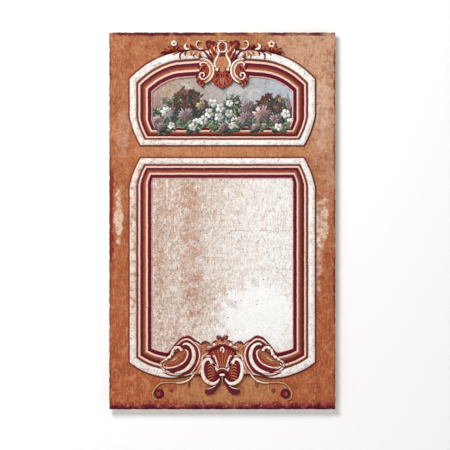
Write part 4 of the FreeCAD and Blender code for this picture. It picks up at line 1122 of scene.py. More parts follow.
leaves.stroke([(240, 222), (218, 230), (198, 252), (183, 270), (163, 289), (138, 295), (116, 282),
               (98, 272), (86, 264), (74, 274), (58, 271), (47, 260)], [3, 5, 6, 6, 7, 9, 8, 6, 6, 8, 7, 3],
              18, "dark_line")
leaves.stroke([(110, 274), (96, 266), (84, 258)], [3, 6, 3], 17, "cream_hair")
leaves.stroke([(84, 224), (88, 204), (94, 186), (104, 168), (116, 154)], [5, 11, 12, 11, 5], 17.5,
              "red_leaf", "leaf", 7)
leaves.stroke([(76, 228), (80, 206), (88, 184), (100, 162)], [3, 6, 6, 3], 17.5, "cream_hair", "round", 6)
leaves.stroke([(60, 254), (70, 240), (76, 222)], [6, 13, 5], 16.5, "tan_leaf", "leaf", 3)
leaves.stroke([(58, 232), (68, 224), (80, 216), (88, 200), (92, 182)], [3, 7, 8, 7, 3], 17, "cream_hair",
              "leaf", 5)
leaves.stroke([(88, 256), (84, 244), (88, 230)], [5, 11, 5], 16.5, "red_leaf", "leaf", 3)
leaves.stroke([(102, 160), (110, 150), (120, 146)], [4, 8, 4], 16.5, "pale_field", "leaf", 2)
leaves.stroke([(54, 240), (62, 239), (72, 240)], [3, 4.5, 3], 17, "dark_line")
leaves.stroke([(132, 150), (170, 137), (212, 142), (240, 152)], [3, 5, 6, 3], 17, "dark_line")
leaves.finish_pair("acanthus")

tendril = Carving()
tendril.stroke([(112, 147), (132, 124), (160, 111), (188, 109)], [6, 7, 7, 4], 12, "cream_roll")
tendril.stroke([(182, 109), (222, 111), (250, 106), (268, 90), (280, 70), (276, 47), (260, 38)],
               [4, 6, 7, 7, 7, 6, 4], 9, "tan_line")
tendril.boss(254, 65, 19.5, 9, "maroon_field", dished=0.15)
tendril.boss(257, 63.5, 12.5, 10, "red_field", dished=0.1)
tendril.stroke([(130, 130), (137, 112), (136, 93)], [4, 14, 4], 12, "red_leaf", "leaf")
tendril.stroke([(86, 135), (104, 141), (120, 134)], [3, 4, 3], 11, "dark_line")
tendril.boss(206, 77, 7.5, 4.5, "red_field", turns=16)
tendril.finish_pair("tendril")

# ---- Painted panel ------------------------------------------------------------------------------
# A 6 mm panel in the upper opening, painted in oils: a dense bank of garden flowers under a hazy
# sky, tan at the left and grey-blue at the right. Leaves and petals spill over the sill moulding.
# The picture is a design of its own.

PANEL_HALF = 0.289
PANEL_LOW, PANEL_HIGH = 1.1345, 1.3545
PANEL_DEPTH = 0.006
GRID = 1.3
SPILL_ROWS = 30
PICTURE_SEED = 41
WIDE = PANEL_HALF * 2000
HIGH = (PANEL_HIGH - PANEL_LOW) * 1000


CHALK, MAUVE, ROSE = (238, 235, 230), (156, 132, 140), (184, 152, 150)
RUST, WINE, STRAW, LIME = (114, 58, 50), (92, 34, 42), (182, 164, 130), (176, 168, 84)
GREENS = [(84, 106, 82), (62, 86, 72), (120, 132, 100), (74, 100, 104), (46, 62, 50), (150, 156, 126),
          (100, 112, 70)]


def shaded(colour, share):
    """A colour made darker, or lighter with a share over 1."""
    return tuple(int(min(255, c * share)) for c in colour)


class Picture:
    """A canvas of colours in millimetres from the panel's lower left corner, and how much is covered."""

    def __init__(self):
        self.columns, rows = int(round(WIDE / GRID)) + 1, int(round(HIGH / GRID)) + 1
        self.step_x, self.step_z = WIDE / (self.columns - 1), HIGH / (rows - 1)
        self.rows = rows
        self.x, self.z = np.meshgrid(np.linspace(0, WIDE, self.columns),
                                     (np.arange(rows + SPILL_ROWS) - SPILL_ROWS) * self.step_z)
        self.colour = np.zeros(self.x.shape + (3,))
        self.cover = np.zeros(self.x.shape)
        self.rand = np.random.default_rng(PICTURE_SEED)

    def haze(self, seed, size):
        """Soft uneven noise from 0 to 1."""
        total = np.zeros_like(self.x)
        for k in range(6):
            angle = seed + 1.9 * k
            f = 2 ** (k * 0.7) / size
            total += np.sin((self.x * math.cos(angle) + self.z * math.sin(angle)) * f + 3.1 * seed + k
                            + 1.6 * np.sin((self.z * math.cos(angle) - self.x * math.sin(angle)) * f * 0.8
                                           + k)) / (1 + 0.4 * k)
        return np.clip(0.5 + total / 5, 0, 1)

    def lay(self, mask, colour):
        """A thin coat of one colour, as strong as the mask."""
        self.colour += mask[..., None] * (np.array(srgb(*colour)) - self.colour)

    def dab(self, x, z, long, wide, angle, colour, lift=16, strength=0.95):
        """One brush mark: an oval, lighter towards its upper left."""
        reach = max(long, wide) * 1.1 + 1
        left, right = int((x - reach) / self.step_x), int((x + reach) / self.step_x) + 2
        low, high = (int((v / self.step_z) + SPILL_ROWS) for v in (z - reach, z + reach + 2))
        window = (slice(max(low, 0), max(high, 0)), slice(max(left, 0), max(right, 0)))
        dx, dz = self.x[window] - x, self.z[window] - z
        u = (dx * math.cos(angle) + dz * math.sin(angle)) / long
        v = (-dx * math.sin(angle) + dz * math.cos(angle)) / wide
        mask = np.clip((1.12 - u * u - v * v) / 0.3, 0, 1) * strength
        shade = np.clip((dz - dx) / (long + wide), -1, 1) * lift
        tone = np.clip(np.array(srgb(*colour)) * (1 + shade[..., None] / 40), 0, 1)
        self.colour[window] += mask[..., None] * (tone - self.colour[window])
        self.cover[window] += mask * (1 - self.cover[window])

    def leaf(self, x, z, long, angle, colour):
        """A leaf with its shadow and its light middle rib."""
        self.dab(x + 1.2, z - 1.2, long, long * 0.32, angle, (24, 28, 26), 0, 0.8)
        self.dab(x, z, long, long * 0.28, angle, colour, 26)
        self.dab(x, z, long * 0.8, 0.7, angle, shaded(colour, 1.45), 0, 0.7)

    def spire(self, x, foot, height, lean, colour):
        """A slim spike of small bells in pairs, smaller towards the tip."""
        for k in range(int(height / 5)):
            z = foot + k * 5
            size = 5.6 * (1 - k * 5 / height) + 1.6
            for way in (-1, 1):
                self.dab(x + lean * k + way * size * 0.7, z, size, size * 0.62, 0.6 * way,
                         shaded(colour, 0.5), 0)
                self.dab(x + lean * k + way * size * 0.66, z + 0.5, size * 0.86, size * 0.48, 0.6 * way,
                         shaded(colour, 0.9 + 0.1 * (k % 2)), 24)

    def cosmos(self, x, z, radius, colour, petals=8):
        """Long separate petals round a small heart, seen a little from below."""
        self.dab(x + 2, z - 3, radius * 0.85, radius * 0.75, 0, (16, 18, 20), 0, 0.8)
        turn = self.rand.uniform(0, 6)
        for k in range(petals):
            angle = turn + 2 * math.pi * k / petals + self.rand.uniform(-0.12, 0.12)
            long = radius * 0.5 * self.rand.uniform(0.84, 1.14)
            px, pz = x + long * math.cos(angle), z + long * 0.86 * math.sin(angle)
            light = (0.88 + 0.28 * math.sin(angle - 0.8)) * self.rand.uniform(0.84, 1.12)
            broad = radius * 1.7 / petals
            self.dab(px, pz, long * 1.02, broad + 1.4, angle, shaded(colour, 0.24), 0)
            self.dab(px, pz, long * 0.92, broad, angle, shaded(colour, light), 30)
            self.dab(px - 0.3 * long * math.cos(angle), pz - 0.3 * long * math.sin(angle), long * 0.5,
                     broad * 0.25, angle, shaded(colour, 0.42), 0, 0.8)
        self.dab(x, z, radius * 0.15, radius * 0.13, 0, (150, 124, 60), 36)
        self.dab(x + 0.8, z - 0.8, radius * 0.08, radius * 0.07, 0, (44, 30, 24), 0)

    def open_blossom(self, x, z, radius, colour, heart=(30, 22, 22)):
        """Five broad ragged petals round a heart."""
        turn = self.rand.uniform(0, 6)
        for k in range(5):
            angle = turn + 2 * math.pi * k / 5 + self.rand.uniform(-0.2, 0.2)
            reach = radius * 0.52 * self.rand.uniform(0.85, 1.15)
            px, pz = x + reach * math.cos(angle), z + reach * math.sin(angle)
            self.dab(px, pz, radius * 0.50, radius * 0.46, angle, shaded(colour, 0.32), 0)
            self.dab(px, pz, radius * 0.43, radius * 0.38, angle,
                     shaded(colour, self.rand.uniform(0.7, 1.2)), 30)
        self.dab(x, z, radius * 0.22, radius * 0.20, 0, (40, 40, 24), 0)
        self.dab(x, z, radius * 0.17, radius * 0.15, 0, heart, 30)

    def umbel(self, x, z, radius, colour):
        """A flat loose head of tiny blossoms on thin stalks."""
        for k in range(46):
            angle, reach = k * 2.399, radius * math.sqrt(k / 46)
            px, pz = x + reach * math.cos(angle), z + reach * 0.55 * math.sin(angle)
            self.dab((x + px) / 2, z - radius * 0.5, 0.7, radius * 0.6, 0.02 * (px - x), (60, 74, 52), 0,
                     0.5)
            self.dab(px + 0.8, pz - 1.0, 2.5, 2.0, angle, (40, 40, 34), 0)
            self.dab(px, pz, 1.9, 1.5, angle, shaded(colour, self.rand.uniform(0.8, 1.15)), 20)

    def strap(self, x, z, long, lean, colour):
        """A long arching blade."""
        for k in range(14):
            share = k / 13
            self.dab(x + lean * long * share ** 1.6, z + long * (share - 0.35 * abs(lean) * share ** 2),
                     4.2, 2.4 * (1 - 0.7 * share), math.pi / 2 - lean * share,
                     shaded(colour, 0.6 + 0.7 * (k % 2)), 20)


def bank_height(x):
    """How high the bank stands: a high mass left of the middle, a lower one at the right."""
    return (80 + 84 * np.exp(-((x - 146) / 68) ** 2) + 52 * np.exp(-((x - 338) / 46) ** 2)
            + 58 * np.exp(-((x - 484) / 44) ** 2) + 7 * np.sin(x / 9) + 5 * np.sin(x / 3.7))


def painted_picture():
    """The bank of flowers: far haze first, then leaves, then blossoms from back to front."""
    canvas = Picture()
    rand = canvas.rand
    side = canvas.x / WIDE
    canvas.colour = (np.array(srgb(166, 130, 98)) * (1 - side)[..., None]
                     + np.array(srgb(172, 188, 202)) * side[..., None])
    canvas.lay(np.clip(canvas.haze(0.4, 30) * 2.2 - 1.0, 0, 1) * 0.6, (206, 200, 190))
    canvas.lay(np.clip(canvas.haze(2.1, 13) * 2.0 - 1.0, 0, 1) * 0.5, (140, 130, 116))
    canvas.lay(np.clip(canvas.haze(5.2, 6) * 2.0 - 1.1, 0, 1) * 0.45, (214, 212, 208))

    canvas.lay(np.clip((bank_height(canvas.x) - 6 + 30 * (canvas.haze(1.2, 7) - 0.5) - canvas.z) / 5, 0, 1)
               * 0.98, (14, 18, 18))
    canvas.lay(np.clip((34 + 12 * np.sin(canvas.x / 23) - canvas.z) / 12, 0, 1) * 0.8, (28, 24, 28))

    for _ in range(620):
        x = rand.uniform(-6, WIDE + 6)
        z = rand.uniform(8, max(20, bank_height(x) + 4))
        canvas.leaf(x, z, rand.uniform(5, 17), rand.uniform(0.1, 3.0),
                    shaded(GREENS[rand.integers(len(GREENS))], rand.uniform(0.35, 1.35)))

    for x, foot, height, lean, colour in ((30, 92, 66, -0.3, ROSE), (558, 84, 60, -0.4, MAUVE)):
        canvas.spire(x, foot, height, lean, colour)
    for _ in range(84):
        x = rand.choice([rand.uniform(92, 240), rand.uniform(92, 240), rand.uniform(440, 534)])
        z = rand.uniform(74, max(90, bank_height(x) + 4))
        canvas.open_blossom(x, z, rand.uniform(8, 15),
                            [RUST, WINE, (70, 32, 38), (130, 90, 76)][rand.integers(4)])
        canvas.leaf(x + rand.uniform(-16, 16), z - 6, rand.uniform(9, 17), rand.uniform(0.2, 2.9),
                    shaded(GREENS[rand.integers(len(GREENS))], 0.5))
    for k in range(22):
        canvas.strap(244 + 4.6 * k, rand.uniform(16, 40), rand.uniform(56, 98), rand.uniform(-0.7, 0.7),
                     [(62, 92, 98), (112, 134, 128), (34, 54, 58)][k % 3])
    for x, z, radius, colour in ((532, 116, 20, STRAW), (58, 118, 20, STRAW), (330, 134, 17, CHALK)):
        canvas.umbel(x, z, radius, colour)
    for x, z, radius, colour, petals in ((66, 66, 31, CHALK, 9), (204, 92, 21, STRAW, 8),
                                         (342, 30, 22, CHALK, 9)):
        canvas.cosmos(x, z, radius, colour, petals)
    for x, z, radius, colour in ((392, 86, 34, MAUVE), (448, 56, 42, ROSE), (384, 40, 36, MAUVE),
                                 (142, 52, 36, MAUVE), (506, 34, 30, MAUVE), (28, 30, 27, ROSE)):
        canvas.cosmos(x, z, radius, colour, 15)
    for x, z, radius in ((250, 104, 19), (282, 84, 20), (236, 62, 21), (276, 46, 20), (316, 62, 18),
                         (212, 34, 20), (546, 60, 20), (560, 26, 18), (318, 104, 15), (182, 26, 17)):
        canvas.open_blossom(x, z, radius, CHALK, LIME)
    for _ in range(260):
        x = rand.uniform(6, WIDE - 6)
        z = rand.uniform(8, bank_height(x) + 12)
        size = rand.uniform(1.0, 2.6)
        canvas.dab(x, z, size, size * 0.8, 0, [CHALK, RUST, STRAW, (30, 30, 32), WINE,
                                               (24, 34, 30)][rand.integers(6)], 34)
    for _ in range(70):
        canvas.leaf(rand.uniform(6, WIDE - 6), rand.uniform(8, 34), rand.uniform(7, 14),
                    rand.uniform(0.2, 2.9), shaded(GREENS[rand.integers(len(GREENS))],
                                                   rand.uniform(0.7, 1.3)))
    for centre, reach in ((52, 44), (168, 34), (300, 60), (428, 30), (520, 36)):
        for _ in range(int(reach * 1.1)):
            x = centre + reach * rand.uniform(-1, 1)
            z = rand.uniform(-22 * (1 - abs(x - centre) / reach), 8)
            canvas.leaf(x, z, rand.uniform(8, 17), rand.uniform(-1.0, 0.3) if x > centre else math.pi
                        + rand.uniform(-0.3, 1.0), shaded(GREENS[rand.integers(len(GREENS))],
                                                          rand.uniform(0.6, 1.3)))
    for x, z, radius, colour in ((44, 6, 24, MAUVE), (296, 4, 24, MAUVE), (424, 6, 20, ROSE)):
        canvas.cosmos(x, z, radius, colour, 12)
    for x, z, radius in ((84, 12, 15), (168, 6, 17), (326, 12, 15), (516, 6, 18)):
        canvas.open_blossom(x, z, radius, CHALK, LIME)
    grainy = rand.normal(0, 0.06, canvas.x.shape)[..., None]
    canvas.colour = np.clip(canvas.colour * (1 + grainy), 0, 1)
    return canvas


canvas = painted_picture()
rows, columns = canvas.rows, canvas.columns
panel_x = (canvas.x[SPILL_ROWS:] / 1000 - PANEL_HALF).ravel()
panel_z = (canvas.z[SPILL_ROWS:] / 1000 + PANEL_LOW).ravel()
verts = [(x, FACE_Y, z) for x, z in zip(panel_x, panel_z)]
faces = [(r * columns + c, r * columns + c + 1, (r + 1) * columns + c + 1, (r + 1) * columns + c)
         for r in range(rows - 1) for c in range(columns - 1)]
rim = (list(range(columns)) + [r * columns + columns - 1 for r in range(1, rows)]
       + [(rows - 1) * columns + c for c in range(columns - 2, -1, -1)]
       + [r * columns for r in range(rows - 2, 0, -1)])
back_first = len(verts)
verts += [(verts[i][0], FACE_Y + PANEL_DEPTH, verts[i][2]) for i in rim]
for k in range(len(rim)):
    n = (k + 1) % len(rim)
    faces.append((rim[k], back_first + k, back_first + n, rim[n]))
faces.append(tuple(back_first + k for k in reversed(range(len(rim)))))
painted_panel = mesh_object("flower_panel", verts, faces)
layer = painted_panel.data.color_attributes.new("picture", "FLOAT_COLOR", "POINT")
wash = np.ones((len(verts), 4), np.float32)
wash[:back_first, :3] = canvas.colour[SPILL_ROWS:].reshape(-1, 3)
wash[back_first:, :3] = srgb(150, 118, 84)
layer.data.foreach_set("color", wash.ravel())

oils = Paint("oil_picture")
brushed = oils.noise(1.0, 3, oils.stretched((210.0, 60.0, 120.0)))
oil_tone = oils.attribute("picture")
oil_tone = oils.coats(
    oil_tone,
    (oils.step(brushed, 0.58, 0.74) * 0.14, (190, 182, 170)),
    (oils.step(oils.noise(160.0, 4), 0.44, 0.30) * 0.35, (96, 76, 66), "MULTIPLY"))
painted_panel.data.materials.append(oils.surface(
    Base_Color=oil_tone, Roughness=oils.step(brushed, 0.3, 0.7) * 0.2 + 0.38, Specular_IOR_Level=0.22,
    Normal=oils.bump(brushed, 0.0006, 0.4)))
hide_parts("painted_panel")
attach(painted_panel, "trumeau")

sill = bpy.data.objects["painted_upper_sill_moulding"]
sill_points = np.zeros(len(sill.data.vertices) * 3)
sill.data.vertices.foreach_get("co", sill_points)
sill_points = sill_points.reshape(-1, 3)
column = np.round((sill_points[:, 0] + PANEL_HALF) * 1000 / canvas.step_x).astype(int)
row = np.round((sill_points[:, 2] - PANEL_LOW) * 1000 / canvas.step_z).astype(int) + SPILL_ROWS
inside = (column >= 0) & (column < columns) & (row >= 0) & (sill_points[:, 1] < FACE_Y)
spill = np.zeros((len(sill_points), 4), np.float32)
spill[inside, :3] = canvas.colour[row[inside], column[inside]]
spill[inside, 3] = canvas.cover[row[inside], column[inside]]
sill.data.color_attributes.new("spill", "FLOAT_COLOR", "POINT").data.foreach_set("color", spill.ravel())

# ---- Mirror plate -------------------------------------------------------------------------------
# A 5 mm plate of glass, silvered behind and aged: the silvering is warm and foxed at the left, with
# ragged brown stains, and almost clear white at the lower right, with faint lines and dark specks.

silver = Paint("aged_silvering")
silver_x = silver.axis(silver.place(), "X")
silver_z = silver.axis(silver.place(), "Z")
drift = silver.noise(3.2, 5, roughness=0.6) - 0.5
blotch = silver.noise(13.0, 6, roughness=0.72)
foxing = silver.noise(36.0, 6, roughness=0.74)
fine = silver.noise(120.0, 4, roughness=0.7)
warm = silver.step(silver_x + silver_z * -0.14 + drift * 0.42, 0.12, -0.34)
tone = silver.mix(warm * 0.90, srgb(246, 242, 238), srgb(210, 182, 162))
tone = silver.coats(
    tone,
    (silver.step(blotch, 0.46, 0.70) * (warm * 0.40 + 0.18), (190, 150, 118)),
    (silver.step(foxing, 0.50, 0.64) * (warm * 0.50 + 0.30), (190, 154, 126)),
    (silver.step(fine, 0.52, 0.62) * (warm * 0.50 + 0.34), (142, 112, 92)))
streaks = silver.noise(1.0, 4, silver.stretched((190.0, 60.0, 60.0)), roughness=0.7)
tone = silver.coats(
    tone,
    (silver.step(streaks, 0.54, 0.62) * 0.45, (164, 140, 124)),
    (silver.step(streaks, 0.46, 0.38) * 0.60, (255, 252, 248)))
# Pale specks painted as highlights on the crackle of the silvering.
painted_highlight_specks = silver.step(silver.noise(64.0, 5, roughness=0.72), 0.48, 0.36)
tone = silver.mix(painted_highlight_specks * 0.55, tone, srgb(255, 251, 246))
greyish = silver.step(silver.noise(27.0, 5, roughness=0.7), 0.54, 0.66)
tone = silver.mix(greyish * 0.4, tone, srgb(190, 182, 168))
stain = patch(silver, -0.126, 0.66, 0.046, 0.34, 0.9) + patch(silver, -0.256, 0.68, 0.022, 0.30, 0.9) * 0.8
stain = stain + patch(silver, -0.10, 0.44, 0.05, 0.12, 0.8) * 0.5 + patch(silver, -0.20, 0.30, 0.06, 0.07,
                                                                          0.8) * 0.6
tone = silver.mix(stain * (silver.step(foxing, 0.38, 0.62) * 0.36 + silver.step(fine, 0.42, 0.56) * 0.28),
                  tone, srgb(176, 114, 82))
clear_area = patch(silver, 0.15, 0.37, 0.17, 0.15, 0.7)
tone = silver.mix(clear_area * 0.72, tone, srgb(255, 254, 253))
line_wave = (silver.noise(11.0, 3) - 0.5) * 0.016
broken = silver.step(silver.noise(30.0, 3), 0.46, 0.60)
for line_z, line_low, strength in ((0.722, 0.0, 0.5), (0.800, -0.06, 0.3), (0.566, -0.05, 0.3)):
    near = silver.step((silver_z + line_wave).away_from(line_z), 0.0040, 0.0012)
    tone = silver.mix(near * silver.step(silver_x, line_low, line_low + 0.05) * broken * strength, tone,
                      srgb(170, 134, 118))
spots = silver.step(silver.cells(46.0), 0.15, 0.08) * silver.step(silver.noise(12.0, 2)
                                                                  + patch(silver, 0.02, 0.36, 0.16, 0.14)
                                                                  * 0.08, 0.48, 0.55)
tone = silver.mix(spots * 0.9, tone, srgb(70, 48, 46))
aged_silver = silver.surface(
    Base_Color=tone, Metallic=1.0 - silver.step(foxing, 0.52, 0.72) * 0.55,
    Roughness=silver.step(foxing, 0.40, 0.70) * 0.28 + silver.step(fine, 0.45, 0.75) * 0.14 + 0.08,
    Coat_Weight=0.2, Coat_Roughness=0.05, Normal=silver.bump(fine + drift, 0.0004, 0.10))


def finish_node(node, material):
    """A CAD node that keeps its shape gets its finished material."""
    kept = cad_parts[node]
    kept.data.materials.clear()
    kept.data.materials.append(material)


finish_node("mirror_plate", aged_silver)

# ---- Backing boards and liner -------------------------------------------------------------------
# A card liner and hardboard sheets fill the openings behind the glass and the painting, flush with
# the back of the board.

hardboard = Paint("hardboard")
fibre = hardboard.noise(1.0, 5, hardboard.stretched((240.0, 240.0, 150.0)), roughness=0.75)
sheen = hardboard.noise(9.0, 3)
board_tone = hardboard.mix(hardboard.step(fibre, 0.35, 0.68), srgb(122, 86, 56), srgb(158, 118, 80))
board_tone = hardboard.mix(hardboard.step(sheen, 0.5, 0.75) * 0.3, board_tone, srgb(104, 72, 48))
backing = hardboard.surface(Base_Color=board_tone, Roughness=hardboard.step(fibre, 0.3, 0.7) * 0.15 + 0.6,
                            Normal=hardboard.bump(fibre, 0.0004, 0.4))
card = Paint("grey_card")
pulp = card.noise(220.0, 4, roughness=0.7)
card_tone = card.mix(card.step(pulp, 0.4, 0.65), srgb(150, 138, 118), srgb(178, 166, 146))
liner = card.surface(Base_Color=card_tone, Roughness=0.85, Normal=card.bump(pulp, 0.0002, 0.3))
finish_node("mirror_backing", backing)
finish_node("panel_backing", backing)
finish_node("mirror_liner", liner)

# ---- Back frame ---------------------------------------------------------------------------------
# Planed pine battens, half-lapped at the corners, with two cross rails housed in the stiles. The
# grain runs along each batten.


def pine(name, along, seed):
    """Planed pine, its grain along X or Z."""
    paint = Paint(name)
    scale = (3.0, 46.0, 46.0) if along == "X" else (46.0, 46.0, 3.0)
    shifted = paint.node("ShaderNodeMapping", {}, {"Vector": paint.place(),
                                                   "Location": (seed, seed * 2, seed * 3)})
    wood = paint.stretched(scale, Field(paint, shifted.outputs[0]))
    rings = paint.noise(1.0, 3, wood, roughness=0.5)
    bands = paint.node("ShaderNodeMath", {"operation": "PINGPONG"}, {0: rings * 9.0, 1: 1.0})
    late = Field(paint, bands.outputs[0])
    fine_grain = paint.noise(6.0, 4, wood, roughness=0.7)
    tone = paint.mix(paint.step(late, 0.2, 0.95), srgb(214, 178, 130), srgb(182, 136, 88))
    tone = paint.mix(paint.step(fine_grain, 0.45, 0.7) * 0.4, tone, srgb(160, 116, 74))
    knots = paint.step(paint.cells(5.5), 0.09, 0.03)
    tone = paint.mix(knots * 0.8, tone, srgb(104, 62, 36))
    dust = paint.noise(14.0, 4)
    tone = paint.mix(paint.step(dust, 0.5, 0.75) * 0.25, tone, srgb(150, 128, 104))
    return paint.surface(Base_Color=tone, Roughness=paint.step(fine_grain, 0.3, 0.7) * 0.15 + 0.52,
                         Normal=paint.bump(late * 0.4 + fine_grain, 0.0004, 0.35))


for seed, (node, along) in enumerate((("back_bottom_rail", "X"), ("back_top_rail", "X"),
                                      ("hanging_rail", "X"), ("middle_rail", "X"),
                                      ("back_stile_right", "Z"), ("back_stile_left", "Z"))):
    finish_node(node, pine("pine_" + node, along, seed * 0.37))

# ---- Turn buttons and hangers -------------------------------------------------------------------
# Stamped brass-plated turn buttons hold the backing boards. Zinc-plated straps with D-rings, bent
# from wire, hang the frame from two wall hooks.


def plated(name, bright, dull, rough):
    """Plated steel, dulled and scratched in use."""
    paint = Paint(name)
    scratches = paint.noise(1.0, 4, paint.stretched((900.0, 900.0, 90.0)), roughness=0.7)
    tarnish = paint.noise(110.0, 4)
    tone = paint.mix(paint.step(tarnish, 0.45, 0.7), bright, dull)
    return paint.surface(Base_Color=tone, Metallic=1.0,
                         Roughness=paint.step(scratches, 0.3, 0.75) * 0.25 + rough,
                         Normal=paint.bump(scratches, 0.00008, 0.35))


brass = plated("brass_plate", srgb(206, 170, 104), srgb(150, 118, 70), 0.26)
zinc = plated("zinc_plate", srgb(196, 198, 200), srgb(150, 152, 156), 0.24)
for side in ("right", "left"):
    for height in ("lower", "middle", "upper"):
        finish_node("turn_button_" + height + "_" + side, brass)
    finish_node("hanger_strap_" + side, zinc)
    finish_node("hanger_ring_" + side, zinc)

# ---- Screws -------------------------------------------------------------------------------------
# Zinc-plated screws with a cross recess, all driven from behind: countersunk ones join the back
# frame to the face board, pan-headed ones hold the turn buttons and the hanger straps.


def screw_tree():
    """A screw set on each point, with its head towards the back and its sizes as inputs."""
    tree = bpy.data.node_groups.new("screws_on_points", "GeometryNodeTree")
    face = tree.interface
    face.new_socket("Geometry", in_out="INPUT", socket_type="NodeSocketGeometry")
    for name in ("Head Foot Radius", "Head Top Radius", "Head Height", "Head Level", "Shank Radius",
                 "Tip Radius", "Shank Length", "Recess Length", "Recess Width", "Recess Depth"):
        face.new_socket(name, in_out="INPUT", socket_type="NodeSocketFloat")
    face.new_socket("Material", in_out="INPUT", socket_type="NodeSocketMaterial")
    face.new_socket("Geometry", in_out="OUTPUT", socket_type="NodeSocketGeometry")
    given = tree.nodes.new("NodeGroupInput").outputs

    def node(kind, values, **settings):
        new = tree.nodes.new(kind)
        for key, value in settings.items():
            setattr(new, key, value)
        for key, value in values.items():
            if isinstance(value, (int, float, tuple)):
                new.inputs[key].default_value = value
            else:
                tree.links.new(value, new.inputs[key])
        return new

    def sum_of(operation, a, b):
        return node("ShaderNodeMath", {0: a, 1: b}, operation=operation).outputs[0]

    def lifted(piece, height):
        place = node("ShaderNodeCombineXYZ", {"Z": height}).outputs[0]
        return node("GeometryNodeTransform", {"Geometry": piece, "Translation": place}).outputs[0]

    head = node("GeometryNodeMeshCone", {"Vertices": 28, "Radius Top": given["Head Top Radius"],
                                         "Radius Bottom": given["Head Foot Radius"],
                                         "Depth": given["Head Height"]})
    shank = node("GeometryNodeMeshCone", {"Vertices": 16, "Radius Top": given["Shank Radius"],
                                          "Radius Bottom": given["Tip Radius"],
                                          "Depth": given["Shank Length"]})
    head_on = lifted(head.outputs["Mesh"], given["Head Level"])
    overlap = sum_of("SUBTRACT", sum_of("ADD", given["Head Level"], 0.0003), given["Shank Length"])
    shank_on = lifted(shank.outputs["Mesh"], overlap)
    body = node("GeometryNodeMeshBoolean", {}, operation="UNION")
    recess_top = sum_of("ADD", given["Head Level"], given["Head Height"])
    cuts = []
    double_depth = sum_of("MULTIPLY", given["Recess Depth"], 2.0)
    for wide, deep in ((given["Recess Length"], given["Recess Width"]),
                       (given["Recess Width"], given["Recess Length"])):
        block_size = node("ShaderNodeCombineXYZ", {"X": wide, "Y": deep, "Z": double_depth}).outputs[0]
        cuts.append(lifted(node("GeometryNodeMeshCube", {"Size": block_size}).outputs["Mesh"], recess_top))
    for piece in (head_on, shank_on):
        tree.links.new(piece, body.inputs["Mesh 2"])
    cut = node("GeometryNodeMeshBoolean", {"Mesh 1": body.outputs["Mesh"]}, operation="DIFFERENCE")
    for piece in cuts:
        tree.links.new(piece, cut.inputs["Mesh 2"])
    turned = node("GeometryNodeTransform", {"Geometry": cut.outputs["Mesh"],
                                            "Rotation": (-math.pi / 2, 0.0, 0.0)})
    points = node("GeometryNodeMeshToPoints", {"Mesh": given["Geometry"]})
    placed = node("GeometryNodeInstanceOnPoints", {"Points": points.outputs[0],
                                                   "Instance": turned.outputs[0]})
    real = node("GeometryNodeRealizeInstances", {"Geometry": placed.outputs[0]})
    finished = node("GeometryNodeSetMaterial", {"Geometry": real.outputs[0], "Material": given["Material"]})
    tree.links.new(finished.outputs[0], tree.nodes.new("NodeGroupOutput").inputs[0])
    return tree


screws = screw_tree()


def screw_set(name, node, places, sizes, material):
    """One plain mesh with a screw at each place, standing in for its CAD node."""
    inputs = {**sizes, "Material": material}
    carrier = mesh_object(name + "_places", places, [])
    modifier = carrier.modifiers.new("screws", "NODES")
    modifier.node_group = screws
    for item in screws.interface.items_tree:
        if item.in_out == "INPUT" and item.name in inputs:
            modifier[item.identifier] = inputs[item.name]
    bpy.context.view_layer.update()
    evaluated = carrier.evaluated_get(bpy.context.evaluated_depsgraph_get())
    mesh = bpy.data.meshes.new_from_object(evaluated)
    mesh.name = name
    carrier.modifiers.remove(modifier)
    bpy.data.objects.remove(carrier)
    piece = bpy.data.objects.new(name, mesh)
    bpy.context.scene.collection.objects.link(piece)
    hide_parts(node)
    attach(piece, "trumeau")


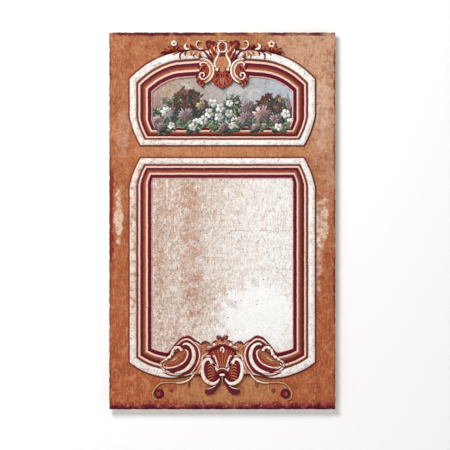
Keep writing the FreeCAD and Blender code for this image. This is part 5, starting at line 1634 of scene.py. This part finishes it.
FRAME_BACK = 0.0
LAP_BACK = -0.008
BUTTON_SEAT = -0.0202
STRAP_SEAT = -0.0065
COUNTERSUNK = {"Head Foot Radius": 0.0022, "Head Top Radius": 0.0044, "Head Height": 0.0022,
               "Head Level": -0.0027, "Shank Radius": 0.0022, "Tip Radius": 0.0008, "Shank Length": 0.0333,
               "Recess Length": 0.0046, "Recess Width": 0.0011, "Recess Depth": 0.0014}
PAN = {"Head Foot Radius": 0.0042, "Head Top Radius": 0.0032, "Head Height": 0.0024, "Head Level": 0.0,
       "Shank Radius": 0.0020, "Tip Radius": 0.0007, "Shank Length": 0.0130, "Recess Length": 0.0044,
       "Recess Width": 0.0010, "Recess Depth": 0.0014}
STILE_X = 0.4207
RAIL_HEIGHTS = (0.0225, 1.4875)
STILE_FIRST, STILE_PITCH = 0.0675, 0.2291667
CROSS_RAIL_HEIGHTS = (1.04125, 1.399)
HANGER_X = 0.2032
BUTTON_X = 0.3015
BUTTON_HEIGHTS = (0.3689, 0.7976, 1.2445)
STRAP_HEIGHTS = (1.395, 1.379)
frame_places = [(x, FRAME_BACK, z) for x in (-STILE_X, -STILE_X / 2, 0.0, STILE_X / 2, STILE_X)
                for z in RAIL_HEIGHTS]
frame_places += [(x, FRAME_BACK, STILE_FIRST + STILE_PITCH * k) for x in (-STILE_X, STILE_X)
                 for k in range(7)]
frame_places += [(x * HANGER_X / 2, LAP_BACK, z) for x in (-3, -1, 1, 3) for z in CROSS_RAIL_HEIGHTS]
button_places = [(x, BUTTON_SEAT, z) for x in (-BUTTON_X, BUTTON_X) for z in BUTTON_HEIGHTS]
strap_places = [(x, STRAP_SEAT, z) for x in (-HANGER_X, HANGER_X) for z in STRAP_HEIGHTS]
screw_zinc = plated("screw_zinc", srgb(200, 196, 186), srgb(150, 146, 136), 0.24)
screw_set("countersunk_screws", "frame_screws", frame_places, COUNTERSUNK, screw_zinc)
screw_set("button_screws", "turn_button_screws", button_places, PAN, screw_zinc)
screw_set("strap_screws", "hanger_screws", strap_places, PAN, screw_zinc)
